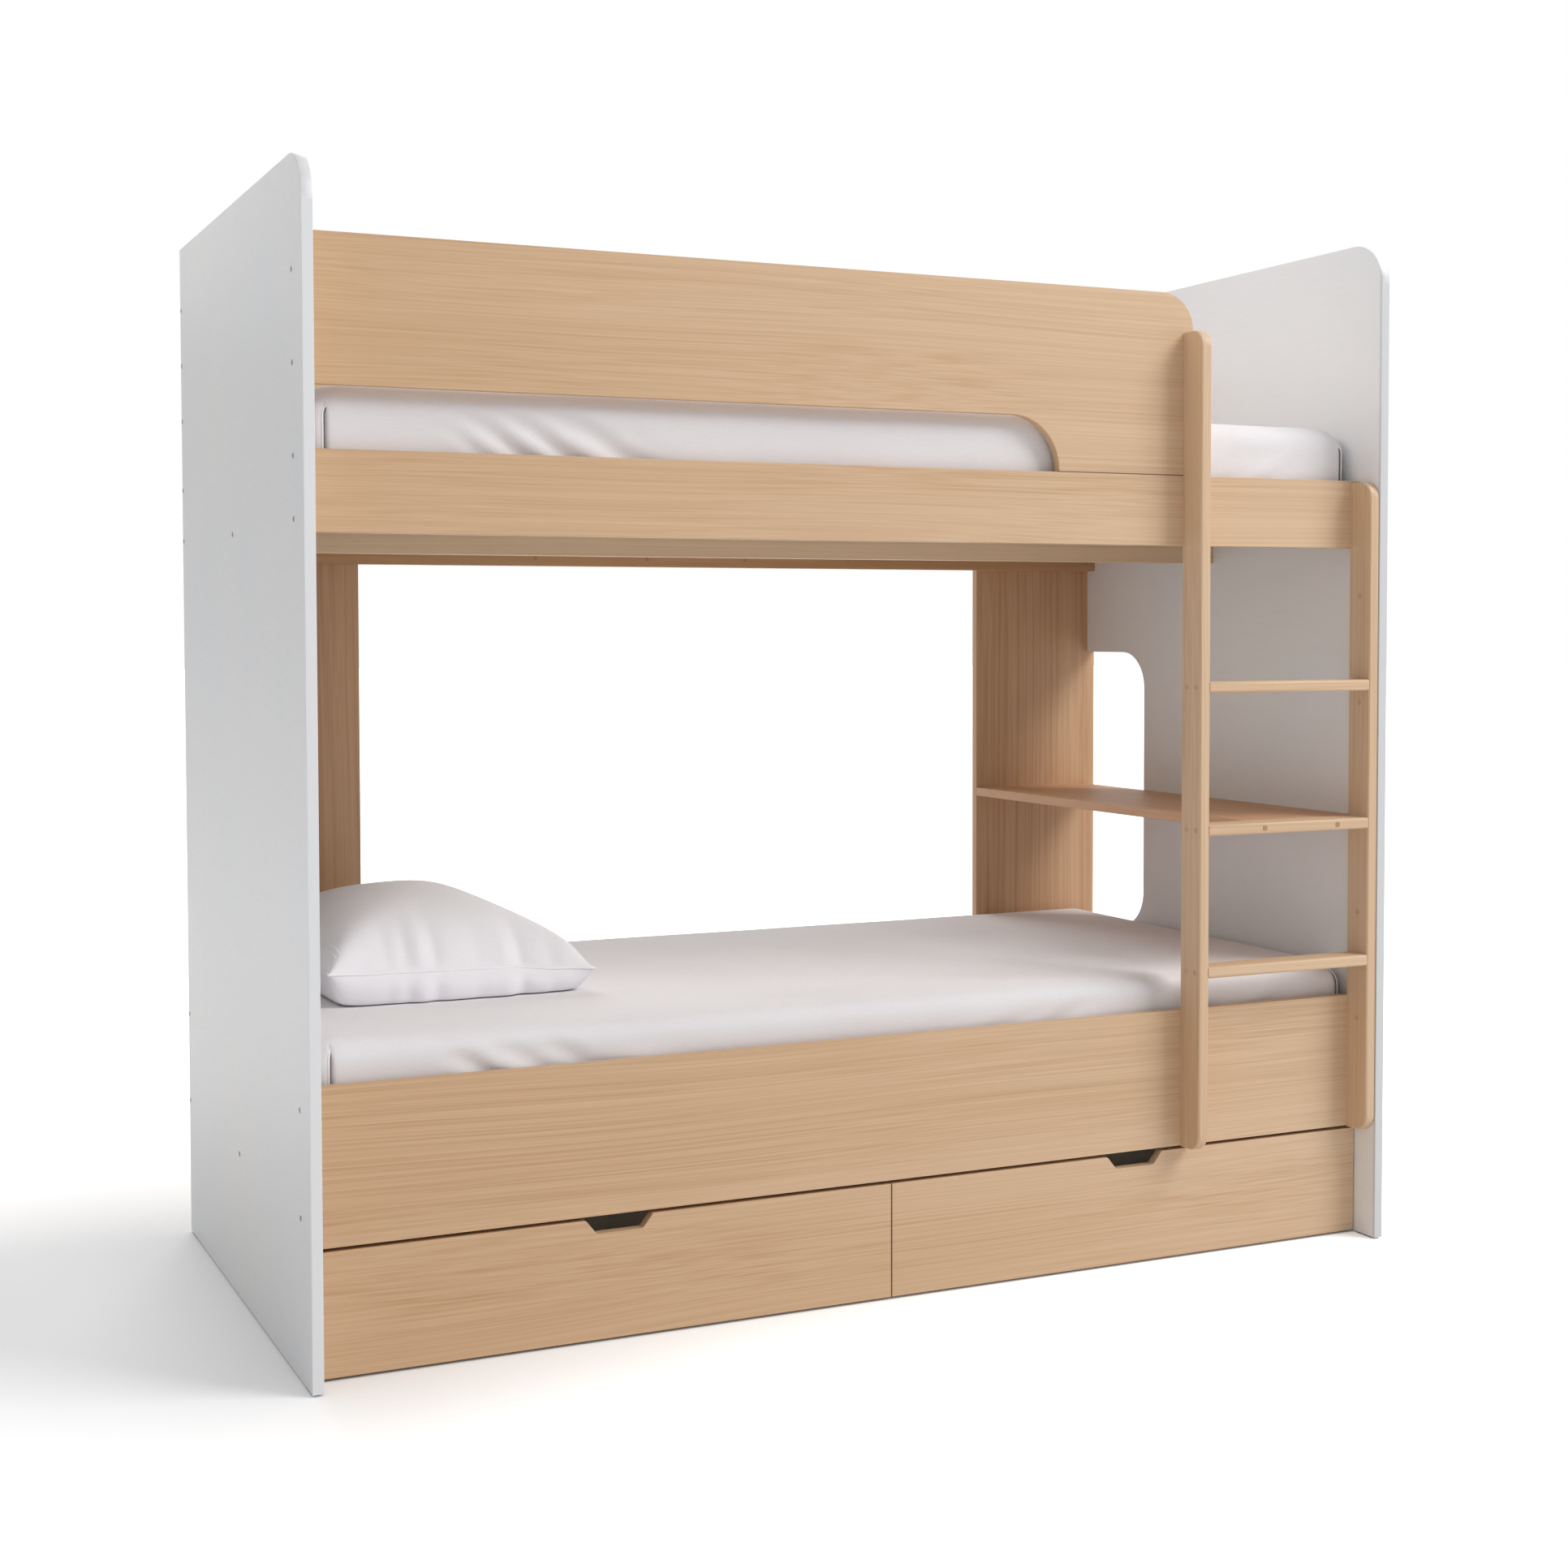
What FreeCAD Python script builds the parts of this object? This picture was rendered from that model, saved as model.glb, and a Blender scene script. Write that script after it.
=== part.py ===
import FreeCAD, Part
import os
import re
import Sketcher

# Bunk bed with a ladder, a bedside shelf and two under-bed drawers on castors.
# Millimetres. The origin is the middle of the footprint on the floor: +X runs along the bed
# towards the ladder, -Y is the front that is climbed, +Z is up.

doc = FreeCAD.newDocument("BunkBed")
Vector = FreeCAD.Vector


# ---------------------------------------------------------------- driving dimensions
SIZES = [
    ("mattress_length", 2000, "nominal mattress"),
    ("mattress_width", 900, "nominal mattress"),
    ("upper_mattress_height", 172, ""),
    ("lower_mattress_height", 222, ""),
    ("mattress_corner", 40, "corner radius in plan"),
    ("mattress_end_gap", 7, "mattress to end panel"),
    ("mattress_side_gap", 7.5, "mattress to side boards"),
    ("rest_gap", 0.3, "soft part above its seat"),
    ("pillow_width", 486, "along the bed"),
    ("pillow_length", 600, "across the bed"),
    ("pillow_height", 170, ""),
    ("pillow_edge", 45, "bevel of its edges"),
    ("pillow_end_gap", 97, "pillow to end panel"),
    ("pillow_offset", 120, "pillow behind the middle"),
    ("board_thickness", 18, "all melamine boards"),
    ("front_recess", 59, "front boards behind the panel edge"),
    ("foot_height", 3, "glides under the panels"),
    ("foot_length", 40, ""),
    ("foot_width", 16, ""),
    ("foot_inset", 12, "glide to panel edge"),
    ("panel_height", 1883, ""),
    ("panel_corner", 80, "front top corner radius"),
    ("window_length", 226, "window in front of the rear boards"),
    ("window_bottom", 500, "above the floor"),
    ("window_height", 608, ""),
    ("window_corner", 80, ""),
    ("window_fit", 0.25, "rear board tab in the window"),
    ("upper_rail_drop", 573.5, "rail's bottom below the panel's top"),
    ("upper_rail_height", 128, ""),
    ("lower_rail_bottom", 208.5, "above the floor"),
    ("lower_rail_height", 251.5, ""),
    ("guard_height", 330, "front guard above the rail"),
    ("guard_corner", 67, "top corner radius at the ladder"),
    ("slot_height", 98, "slot between rail and guard"),
    ("slot_end", 337, "end of the slot from the middle"),
    ("slot_straight", 2, "straight edge beside the slot's quarter round"),
    ("rear_guard_lift", 98, "rear guard above the rear rail"),
    ("rear_guard_height", 252, ""),
    ("left_rear_board_width", 317, ""),
    ("right_rear_board_width", 293, ""),
    ("beam_thickness", 35, "centre beams"),
    ("beam_height", 60, ""),
    ("batten_thickness", 30, "slat ledgers"),
    ("front_batten_height", 42, "hidden behind its rail"),
    ("rear_batten_height", 66, ""),
    ("upper_slat_seat", 44.5, "slats above the rail's bottom edge"),
    ("lower_slat_seat", 77.5, "slats above the rail's bottom edge"),
    ("slat_count", 14, ""),
    ("slat_width", 68, ""),
    ("slat_thickness", 16, ""),
    ("slat_end_gap", 3, "slat to side boards"),
    ("stile_thickness", 21, ""),
    ("stile_depth", 57, ""),
    ("stile_corner", 30, "front corner radius"),
    ("stile_edge", 2, "eased edges"),
    ("left_stile_drop", 70.5, "stile's top below the guard's top"),
    ("right_stile_drop", 4.5, "stile's top below the rail's top"),
    ("stile_floor_gap", 207, "stile bottoms above the floor"),
    ("ladder_width", 363, "clear between the stiles"),
    ("rung_depth", 53, ""),
    ("rung_thickness", 21, ""),
    ("rung_edge", 5, "eased edges"),
    ("first_rung_top", 545, "above the floor"),
    ("rung_pitch", 260, ""),
    ("shelf_thickness", 18, ""),
    ("shelf_taper", 20, "narrower at the ladder end"),
    ("cap_diameter", 10, "covers of the connecting screws"),
    ("cap_thickness", 0.6, ""),
    ("guard_screw_low", 31, "above the slot"),
    ("guard_screw_high", 60, "below the guard's top"),
    ("upper_screw_low", 20, "above the rail's bottom"),
    ("upper_screw_high", 12, "below the rail's top"),
    ("lower_screw_low", 50, "above the rail's bottom"),
    ("lower_screw_high", 34, "below the rail's top"),
    ("rear_guard_screw", 21, "from the rear guard's edges"),
    ("rung_cap_spacing", 28, "two caps at a rung's end"),
    ("shelf_cap_first", 124, "from the left stile"),
    ("shelf_cap_spacing", 167, ""),
    ("low_cap_drop", 124.5, "cap below the bottom rung's top"),
    ("low_cap_lift", 77.5, "cap above the bottom rung's top"),
    ("high_cap_drop", 44.5, "cap below the top rung's top"),
    ("high_cap_lift", 157.5, "cap above the top rung's top"),
    ("drawer_end_gap", 2.5, "drawer front to end panel"),
    ("drawer_middle_gap", 3, "between the drawer fronts"),
    ("drawer_top_gap", 6, "under the lower rail"),
    ("drawer_floor_gap", 5, ""),
    ("notch_top", 118, "width of the finger notch"),
    ("notch_bottom", 81, ""),
    ("notch_depth", 23, ""),
    ("notch_corner", 6, ""),
    ("box_depth", 700, "drawer box behind its front"),
    ("box_inset", 30, "drawer side to the end of its front"),
    ("box_height", 130, ""),
    ("box_wall", 15, ""),
    ("bottom_thickness", 5, ""),
    ("groove_lift", 8, "groove above the side's bottom edge"),
    ("groove_depth", 7, ""),
    ("groove_fit", 0.25, ""),
    ("stiffener_width", 40, "rail under the drawer bottom"),
    ("stiffener_height", 15, ""),
    ("wheel_radius", 14, ""),
    ("wheel_width", 12, ""),
    ("wheel_side_gap", 0.5, "wheel to cheek"),
    ("wheel_top_gap", 2, "wheel to plate"),
    ("castor_plate", 3, ""),
    ("castor_plate_width", 26, ""),
    ("castor_length", 46, ""),
    ("cheek_thickness", 3, ""),
    ("cheek_drop", 6, "cheek below the axle"),
    ("castor_end", 24, "castor to the drawer's front and back"),
    ("axle_diameter", 5, ""),
    ("axle_running_fit", 0.05, "radial, wheel on its axle"),
    ("axle_hold_fit", 0.02, "radial, axle in the cheeks"),
]

sheet = doc.addObject("Spreadsheet::Sheet", "Size")
for row, (alias, value, note) in enumerate(SIZES, start=1):
    sheet.set("A%d" % row, alias)
    sheet.set("B%d" % row, str(value))
    sheet.set("C%d" % row, note)
    sheet.setAlias("B%d" % row, alias)
doc.recompute()

# Places that several pieces share, worked out from the driving dimensions.
PLACES = {
    "inside": "mattress_length + 2 * mattress_end_gap",
    "length": "inside + 2 * board_thickness",
    "bay": "mattress_width + 2 * mattress_side_gap",
    "depth": "front_recess + 2 * board_thickness + bay",
    "panel_front": "-depth / 2",
    "board_front": "panel_front + front_recess",
    "board_back": "board_front + board_thickness",
    "rear_front": "depth / 2 - board_thickness",
    "panel_top": "foot_height + panel_height",
    "window_top": "window_bottom + window_height",
    "window_front": "rear_front - window_length",
    "upper_rail_bottom": "panel_top - upper_rail_drop",
    "upper_rail_top": "upper_rail_bottom + upper_rail_height",
    "lower_rail_top": "lower_rail_bottom + lower_rail_height",
    "guard_top": "upper_rail_top + guard_height",
    "rear_guard_bottom": "upper_rail_top + rear_guard_lift",
    "upper_slat_bottom": "upper_rail_bottom + upper_slat_seat",
    "lower_slat_bottom": "lower_rail_bottom + lower_slat_seat",
    "right_stile_left": "inside / 2 - stile_thickness",
    "left_stile_right": "right_stile_left - ladder_width",
    "left_stile_left": "left_stile_right - stile_thickness",
    "left_stile_top": "guard_top - left_stile_drop",
    "right_stile_top": "upper_rail_top - right_stile_drop",
    "stile_front": "board_front - stile_depth",
    "rung_back": "stile_front + rung_depth",
    "middle_rung_top": "first_rung_top + rung_pitch",
    "top_rung_top": "first_rung_top + 2 * rung_pitch",
    "shelf_left": "inside / 2 - right_rear_board_width",
    "board_middle": "board_front + board_thickness / 2",
    "rear_middle": "rear_front + board_thickness / 2",
    "beam_front": "board_back + bay / 2 - beam_thickness / 2",
    "beam_middle": "board_back + bay / 2",
    "front_width": "(inside - 2 * drawer_end_gap - drawer_middle_gap) / 2",
    "drawer_middle": "(front_width + drawer_middle_gap) / 2",
    "drawer_front_top": "lower_rail_bottom - drawer_top_gap",
    "box_width": "front_width - 2 * box_inset",
    "plate_bottom": "2 * wheel_radius + wheel_top_gap",
    "box_bottom": "plate_bottom + castor_plate",
    "box_rear": "board_back + box_depth",
    "castor_middle": "box_width / 2 - box_wall / 2",
    "front_castor": "board_back + castor_end + castor_length / 2",
    "rear_castor": "box_rear - castor_end - castor_length / 2",
}
ALIASES = set(alias for alias, value, note in SIZES)


def bound(text):
    """Turn words of SIZES and PLACES into one expression on the sheet."""
    def swap(match):
        word = match.group(0)
        if word in PLACES:
            return "(" + bound(PLACES[word]) + ")"
        if word in ALIASES:
            return "Size." + word
        return word
    return re.sub(r"[a-z][a-z_]*", swap, str(text))


def number(text):
    return float(sheet.evalExpression(bound(text)))


def bind(thing, **sizes):
    for name, text in sizes.items():
        thing.setExpression(name, bound(text))


def place(thing, x, y, z):
    for axis, text in (("x", x), ("y", y), ("z", z)):
        thing.setExpression("Placement.Base." + axis, bound(text))


# ---------------------------------------------------------------- shared ways of making a piece
NODES = []


def node(thing, label):
    thing.Label = label
    NODES.append(thing)
    return thing


def new_body(label, x, y, z, loose=False):
    """A body at (x, y, z); loose lets it hold several separate solids of one kind."""
    body = doc.addObject("PartDesign::Body", "Body_" + label)
    if loose:
        body.AllowCompound = True
    place(body, x, y, z)
    return node(body, label)


def new_sketch(body, plane, shift=None):
    """A sketch flat on one of the body's own origin planes, moved off it by shift."""
    sketch = body.newObject("Sketcher::SketchObject", "Sketch_" + body.Label)
    origin_plane = [part for part in body.Origin.OriginFeatures if part.Role == plane][0]
    sketch.AttachmentSupport = (origin_plane, "")
    sketch.MapMode = "FlatFace"
    if shift is not None:
        sketch.setExpression("AttachmentOffset.Base.z", bound(shift))
    return sketch


def pin_point(sketch, geometry, end, x, y):
    """Fix one point of a sketch at expressions x and y from its origin."""
    for kind, text in (("DistanceX", x), ("DistanceY", y)):
        index = sketch.addConstraint(Sketcher.Constraint(kind, -1, 1, geometry, end, number(text)))
        sketch.setExpression("Constraints[%d]" % index, bound(text))


def draw_outline(sketch, corners):
    """A closed outline of straight lines; every corner is an (x, y) pair of expressions."""
    first = sketch.GeometryCount
    points = [Vector(number(x), number(y), 0) for x, y in corners]
    count = len(points)
    for i in range(count):
        sketch.addGeometry(Part.LineSegment(points[i], points[(i + 1) % count]))
    for i in range(count):
        after = first + (i + 1) % count
        sketch.addConstraint(Sketcher.Constraint("Coincident", first + i, 2, after, 1))
    for i, (x, y) in enumerate(corners):
        pin_point(sketch, first + i, 1, x, y)


def draw_circles(sketch, centres, radius):
    """Circles of one radius; every centre is an (x, y) pair of expressions."""
    for x, y in centres:
        circle = Part.Circle(Vector(number(x), number(y), 0), Vector(0, 0, 1), number(radius))
        index = sketch.addGeometry(circle)
        pin_point(sketch, index, 3, x, y)
        size = sketch.addConstraint(Sketcher.Constraint("Radius", index, number(radius)))
        sketch.setExpression("Constraints[%d]" % size, bound(radius))


def pad(body, sketch, length, reverse=False):
    feature = body.newObject("PartDesign::Pad", "Pad_" + body.Label)
    feature.Profile = sketch
    feature.Length = number(length)
    feature.setExpression("Length", bound(length))
    feature.Reversed = reverse
    doc.recompute()
    return feature


def pocket(body, sketch, depth=None, reverse=False):
    """Cut a sketch out of the body, to a depth or right through both ways."""
    before = body.Shape.Volume
    feature = body.newObject("PartDesign::Pocket", "Pocket_" + body.Label)
    feature.Profile = sketch
    feature.Reversed = reverse
    if depth is None:
        feature.SideType = "Two sides"
        feature.Type = "ThroughAll"
        feature.Type2 = "ThroughAll"
    else:
        feature.Length = number(depth)
        feature.setExpression("Length", bound(depth))
    doc.recompute()
    if body.Shape.Volume > before - 0.1:
        raise RuntimeError(body.Label + ": a pocket cuts nothing")
    return feature


def mirror_ends(body, features):
    """Repeat features at the other end of the piece."""
    feature = body.newObject("PartDesign::Mirrored", "Mirrored_" + body.Label)
    feature.Originals = features
    middle = [part for part in body.Origin.OriginFeatures if part.Role == "YZ_Plane"][0]
    feature.MirrorPlane = (middle, [""])
    body.Tip = feature
    doc.recompute()
    return feature


def repeat_along(body, features, role, length, count):
    """Repeat features in a row along one of the body's axes."""
    feature = body.newObject("PartDesign::LinearPattern", "Pattern_" + body.Label)
    feature.Originals = features
    axis = [part for part in body.Origin.OriginFeatures if part.Role == role][0]
    feature.Direction = (axis, [""])
    feature.Length = number(length)
    feature.setExpression("Length", bound(length))
    feature.Occurrences = int(number(count))
    feature.setExpression("Occurrences", bound(count))
    body.Tip = feature
    doc.recompute()
    return feature


def corner_edges(shape, axis, first, second):
    """Names of the straight edges along an axis that pass through a place across it."""
    across = [i for i in range(3) if i != axis]
    wanted = (number(first), number(second))
    names = []
    for index, edge in enumerate(shape.Edges, start=1):
        ends = [vertex.Point for vertex in edge.Vertexes]
        if len(ends) == 2 and all(
            abs(end[across[k]] - wanted[k]) < 0.01 for end in ends for k in (0, 1)
        ):
            names.append("Edge%d" % index)
    return names


def round_corners(body, axis, corners, radius):
    """Round the edges along one axis (0, 1, 2) at the given places."""
    base = body.Tip
    names = []
    for first, second in corners:
        names += corner_edges(base.Shape, axis, first, second)
    return round_edges(body, names, radius)


def round_edges(body, names, radius):
    base = body.Tip
    feature = body.newObject("PartDesign::Fillet", "Fillet_" + body.Label)
    feature.Base = (base, names)
    feature.Radius = number(radius)
    feature.setExpression("Radius", bound(radius))
    doc.recompute()
    return feature


def bevel_edges(body, names, size):
    base = body.Tip
    feature = body.newObject("PartDesign::Chamfer", "Chamfer_" + body.Label)
    feature.Base = (base, names)
    feature.Size = number(size)
    feature.setExpression("Size", bound(size))
    doc.recompute()
    return feature


def box(label, length, width, height, x, y, z):
    """A plain board, batten or block with its least corner at (x, y, z)."""
    solid = doc.addObject("Part::Box", "Box_" + label)
    bind(solid, Length=length, Width=width, Height=height)
    place(solid, x, y, z)
    return solid


def plain_board(label, y, bottom, thickness, height):
    """A straight board or batten that fills the length between the end panels."""
    solid = box(label, "inside", thickness, height, "-inside / 2", y, bottom)
    return node(solid, label)


def profile_board(label, plane, x, y, z, outline, thickness, reverse=False):
    """A board cut to an outline."""
    body = new_body(label, x, y, z)
    sketch = new_sketch(body, plane)
    draw_outline(sketch, outline)
    pad(body, sketch, thickness, reverse=reverse)
    return body


def rectangle(left, bottom, right, top):
    return [(left, bottom), (right, bottom), (right, top), (left, top)]


# ---------------------------------------------------------------- end panels
left_panel = profile_board(
    "left_end_panel",
    "YZ_Plane",
    "-length / 2",
    "0",
    "0",
    rectangle("panel_front", "foot_height", "depth / 2", "panel_top"),
    "board_thickness",
)
# The right panel is cut away behind its window, and the rear board's tab closes the opening.
right_panel = profile_board(
    "right_end_panel",
    "YZ_Plane",
    "inside / 2",
    "0",
    "0",
    [
        ("panel_front", "foot_height"),
        ("depth / 2", "foot_height"),
        ("depth / 2", "window_bottom"),
        ("window_front", "window_bottom"),
        ("window_front", "window_top"),
        ("depth / 2", "window_top"),
        ("depth / 2", "panel_top"),
        ("panel_front", "panel_top"),
    ],
    "board_thickness",
)
window_corners = [("window_front", "window_bottom"), ("window_front", "window_top")]
round_corners(right_panel, 0, window_corners, "window_corner")
for panel in (left_panel, right_panel):
    round_corners(panel, 0, [("panel_front", "panel_top")], "panel_corner")

feet = new_body("foot_glides", "0", "0", "0", loose=True)
feet_sketch = new_sketch(feet, "XY_Plane")
for side in ("-", ""):
    middle = side + "(inside + board_thickness) / 2"
    for start in ("panel_front + foot_inset", "depth / 2 - foot_inset - foot_length"):
        left = middle + " - foot_width / 2"
        right = middle + " + foot_width / 2"
        draw_outline(feet_sketch, rectangle(left, start, right, start + " + foot_length"))
pad(feet, feet_sketch, "foot_height")


# ---------------------------------------------------------------- caps over the connecting screws
def caps(label, plane, x, y, z, centres, reverse=False):
    """Flat round caps that lie on a face, one over each screw."""
    body = new_body(label, x, y, z, loose=True)
    sketch = new_sketch(body, plane)
    draw_circles(sketch, centres, "cap_diameter / 2")
    pad(body, sketch, "cap_thickness", reverse=reverse)


# Each row is a board's middle, its bottom edge and the screws' heights above that edge.
PANEL_ROWS = [
    ("board_middle", "upper_rail_bottom",
     ["upper_screw_low", "upper_rail_height - upper_screw_high"]),
    ("board_middle", "lower_rail_bottom",
     ["lower_screw_low", "lower_rail_height - lower_screw_high"]),
    ("rear_middle", "rear_guard_bottom",
     ["rear_guard_screw", "rear_guard_height / 2", "rear_guard_height - rear_guard_screw"]),
    ("rear_middle", "upper_rail_bottom",
     ["upper_screw_low", "upper_rail_height - upper_screw_high"]),
    ("rear_middle", "lower_rail_bottom",
     ["lower_screw_low", "lower_rail_height - lower_screw_high"]),
    ("beam_middle", "upper_slat_bottom - beam_height", ["beam_height / 2"]),
    ("beam_middle", "lower_slat_bottom - beam_height", ["beam_height / 2"]),
]
GUARD_ROW = ("board_middle", "upper_rail_top",
             ["slot_height + guard_screw_low", "guard_height - guard_screw_high"])


def row_places(rows):
    return [(y, base + " + " + height) for y, base, heights in rows for height in heights]


caps("left_panel_caps", "YZ_Plane", "-length / 2", "0", "0",
     row_places(PANEL_ROWS + [GUARD_ROW]), reverse=True)
caps("right_panel_caps", "YZ_Plane", "length / 2", "0", "0", row_places(PANEL_ROWS))


# ---------------------------------------------------------------- rails, guards, rear boards
half = "inside / 2"
minus_half = "-inside / 2"
board = "board_thickness"

plain_board("upper_front_rail", "board_front", "upper_rail_bottom", board, "upper_rail_height")
plain_board("upper_rear_rail", "rear_front", "upper_rail_bottom", board, "upper_rail_height")
plain_board("lower_front_rail", "board_front", "lower_rail_bottom", board, "lower_rail_height")
plain_board("lower_rear_rail", "rear_front", "lower_rail_bottom", board, "lower_rail_height")
plain_board("rear_guard_board", "rear_front", "rear_guard_bottom", board, "rear_guard_height")

# The front guard stands on the rail beside the ladder and leaves a slot from there to the
# left panel; the slot's end is a quarter round, like the guard's free top corner.
guard = profile_board(
    "front_guard_board",
    "XZ_Plane",
    "0",
    "board_front",
    "upper_rail_top",
    [
        ("slot_end", "0"),
        ("left_stile_right", "0"),
        ("left_stile_right", "guard_height"),
        (minus_half, "guard_height"),
        (minus_half, "slot_height"),
        ("slot_end", "slot_height"),
    ],
    board,
    reverse=True,
)
round_corners(guard, 1, [("left_stile_right", "guard_height")], "guard_corner")
round_corners(guard, 1, [("slot_end", "slot_height")], "slot_height - slot_straight")

rear_board_height = "upper_rail_bottom - lower_rail_top"
node(
    box("left_rear_board", "left_rear_board_width", board, rear_board_height,
        minus_half, "rear_front", "lower_rail_top"),
    "left_rear_board",
)
profile_board(
    "right_rear_board",
    "XZ_Plane",
    "0",
    "rear_front",
    "0",
    [
        ("shelf_left", "lower_rail_top"),
        (half, "lower_rail_top"),
        (half, "window_bottom + window_fit"),
        ("length / 2", "window_bottom + window_fit"),
        ("length / 2", "window_top - window_fit"),
        (half, "window_top - window_fit"),
        (half, "upper_rail_bottom"),
        ("shelf_left", "upper_rail_bottom"),
    ],
    board,
    reverse=True,
)


# ---------------------------------------------------------------- slat bases
def slat_base(level, seat):
    """Two ledgers, a centre beam and a row of slats, under one mattress."""
    for side, y in (("front", "board_back"), ("rear", "rear_front - batten_thickness")):
        height = side + "_batten_height"
        plain_board(level + "_" + side + "_batten", y, seat + " - " + height,
                    "batten_thickness", height)
    plain_board(level + "_centre_beam", "beam_front", seat + " - beam_height",
                "beam_thickness", "beam_height")
    slats = new_body(level + "_slats", minus_half, "board_back", seat, loose=True)
    sketch = new_sketch(slats, "XY_Plane")
    left = "(inside / slat_count - slat_width) / 2"
    draw_outline(
        sketch,
        rectangle(left, "slat_end_gap", left + " + slat_width", "bay - slat_end_gap"),
    )
    slat = pad(slats, sketch, "slat_thickness")
    repeat_along(slats, [slat], "X_Axis", "inside - inside / slat_count", "slat_count")


slat_base("upper", "upper_slat_bottom")
slat_base("lower", "lower_slat_bottom")


# ---------------------------------------------------------------- ladder and shelf
RUNGS = [("bottom", "first_rung_top"), ("middle", "middle_rung_top"), ("top", "top_rung_top")]


def eased_side_edges(shape, thickness, back):
    """Edges round both broad sides of a stile, but for those on its flat back."""
    names = []
    for index, edge in enumerate(shape.Edges, start=1):
        span = edge.BoundBox
        on_side = span.XLength < 0.01 and min(abs(span.XMin), abs(span.XMin - thickness)) < 0.01
        if on_side and span.YMin < back - 0.01:
            names.append("Edge%d" % index)
    return names


def stile(label, x, top):
    """A ladder stile standing on the front of the boards."""
    height = top + " - stile_floor_gap"
    body = profile_board(label, "YZ_Plane", x, "stile_front", "stile_floor_gap",
                         rectangle("0", "0", "stile_depth", height), "stile_thickness")
    round_corners(body, 0, [("0", "0"), ("0", height)], "stile_corner")
    sides = eased_side_edges(body.Tip.Shape, number("stile_thickness"), number("stile_depth"))
    bevel_edges(body, sides, "stile_edge")


stile("ladder_left_stile", "left_stile_left", "left_stile_top")
stile("ladder_right_stile", "right_stile_left", "right_stile_top")

rung_outline = rectangle("0", "0", "rung_depth", "rung_thickness")
for name, top in RUNGS:
    rung = profile_board("ladder_%s_rung" % name, "YZ_Plane", "left_stile_right", "stile_front",
                         top + " - rung_thickness", rung_outline, "ladder_width")
    round_corners(rung, 0, rung_outline, "rung_edge")

# Screws: two into each rung's left end, four from the right stile into the end panel and two
# from the middle rung into the shelf.
rung_caps = [
    ("stile_depth / 2" + step, top + " - rung_thickness / 2")
    for name, top in RUNGS
    for step in (" - rung_cap_spacing / 2", " + rung_cap_spacing / 2")
]
stile_caps = [
    ("stile_depth / 2", "first_rung_top - low_cap_drop"),
    ("stile_depth / 2", "first_rung_top + low_cap_lift"),
    ("stile_depth / 2", "top_rung_top - high_cap_drop"),
    ("stile_depth / 2", "top_rung_top + high_cap_lift"),
]
shelf_caps = [
    ("shelf_cap_first", "rung_thickness / 2"),
    ("shelf_cap_first + shelf_cap_spacing", "rung_thickness / 2"),
]
caps("left_stile_caps", "YZ_Plane", "left_stile_left", "stile_front", "0", rung_caps, reverse=True)
caps("right_stile_caps", "YZ_Plane", "right_stile_left", "stile_front", "0", stile_caps,
     reverse=True)
caps("middle_rung_caps", "XZ_Plane", "left_stile_right", "stile_front",
     "middle_rung_top - rung_thickness", shelf_caps)

# The shelf runs from the rear board to the middle rung and is notched round the right stile.
profile_board(
    "bedside_shelf",
    "XY_Plane",
    "0",
    "0",
    "middle_rung_top - shelf_thickness",
    [
        ("shelf_left", "rear_front"),
        ("shelf_left + shelf_taper", "rung_back"),
        ("right_stile_left", "rung_back"),
        ("right_stile_left", "board_front"),
        (half, "board_front"),
        (half, "rear_front"),
    ],
    "shelf_thickness",
)


# ---------------------------------------------------------------- drawers on castors
def drawer_front(side, x):
    """The front, with a finger notch in its top edge."""
    top = "drawer_front_top - drawer_floor_gap"
    floor = top + " - notch_depth"
    notch = [
        ("notch_top / 2", top),
        ("notch_bottom / 2", floor),
        ("-notch_bottom / 2", floor),
        ("-notch_top / 2", top),
    ]
    corners = [("-front_width / 2", "0"), ("front_width / 2", "0"), ("front_width / 2", top)]
    body = profile_board(side + "_drawer_front", "XZ_Plane", x, "board_front", "drawer_floor_gap",
                         corners + notch + [("-front_width / 2", top)], board, reverse=True)
    round_corners(body, 1, notch, "notch_corner")


def grooved(label, length, width, x, y, groove_length, groove_width, groove_x, groove_y):
    """A drawer side or back with the groove that holds the bottom."""
    blank = box(label, length, width, "box_height", x, y, "box_bottom")
    cutter = box(label + "_groove", groove_length, groove_width,
                 "bottom_thickness + 2 * groove_fit", groove_x, groove_y,
                 "box_bottom + groove_lift - groove_fit")
    cut = doc.addObject("Part::Cut", "Cut_" + label)
    cut.Base = blank
    cut.Tool = cutter
    return node(cut, label)


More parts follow.
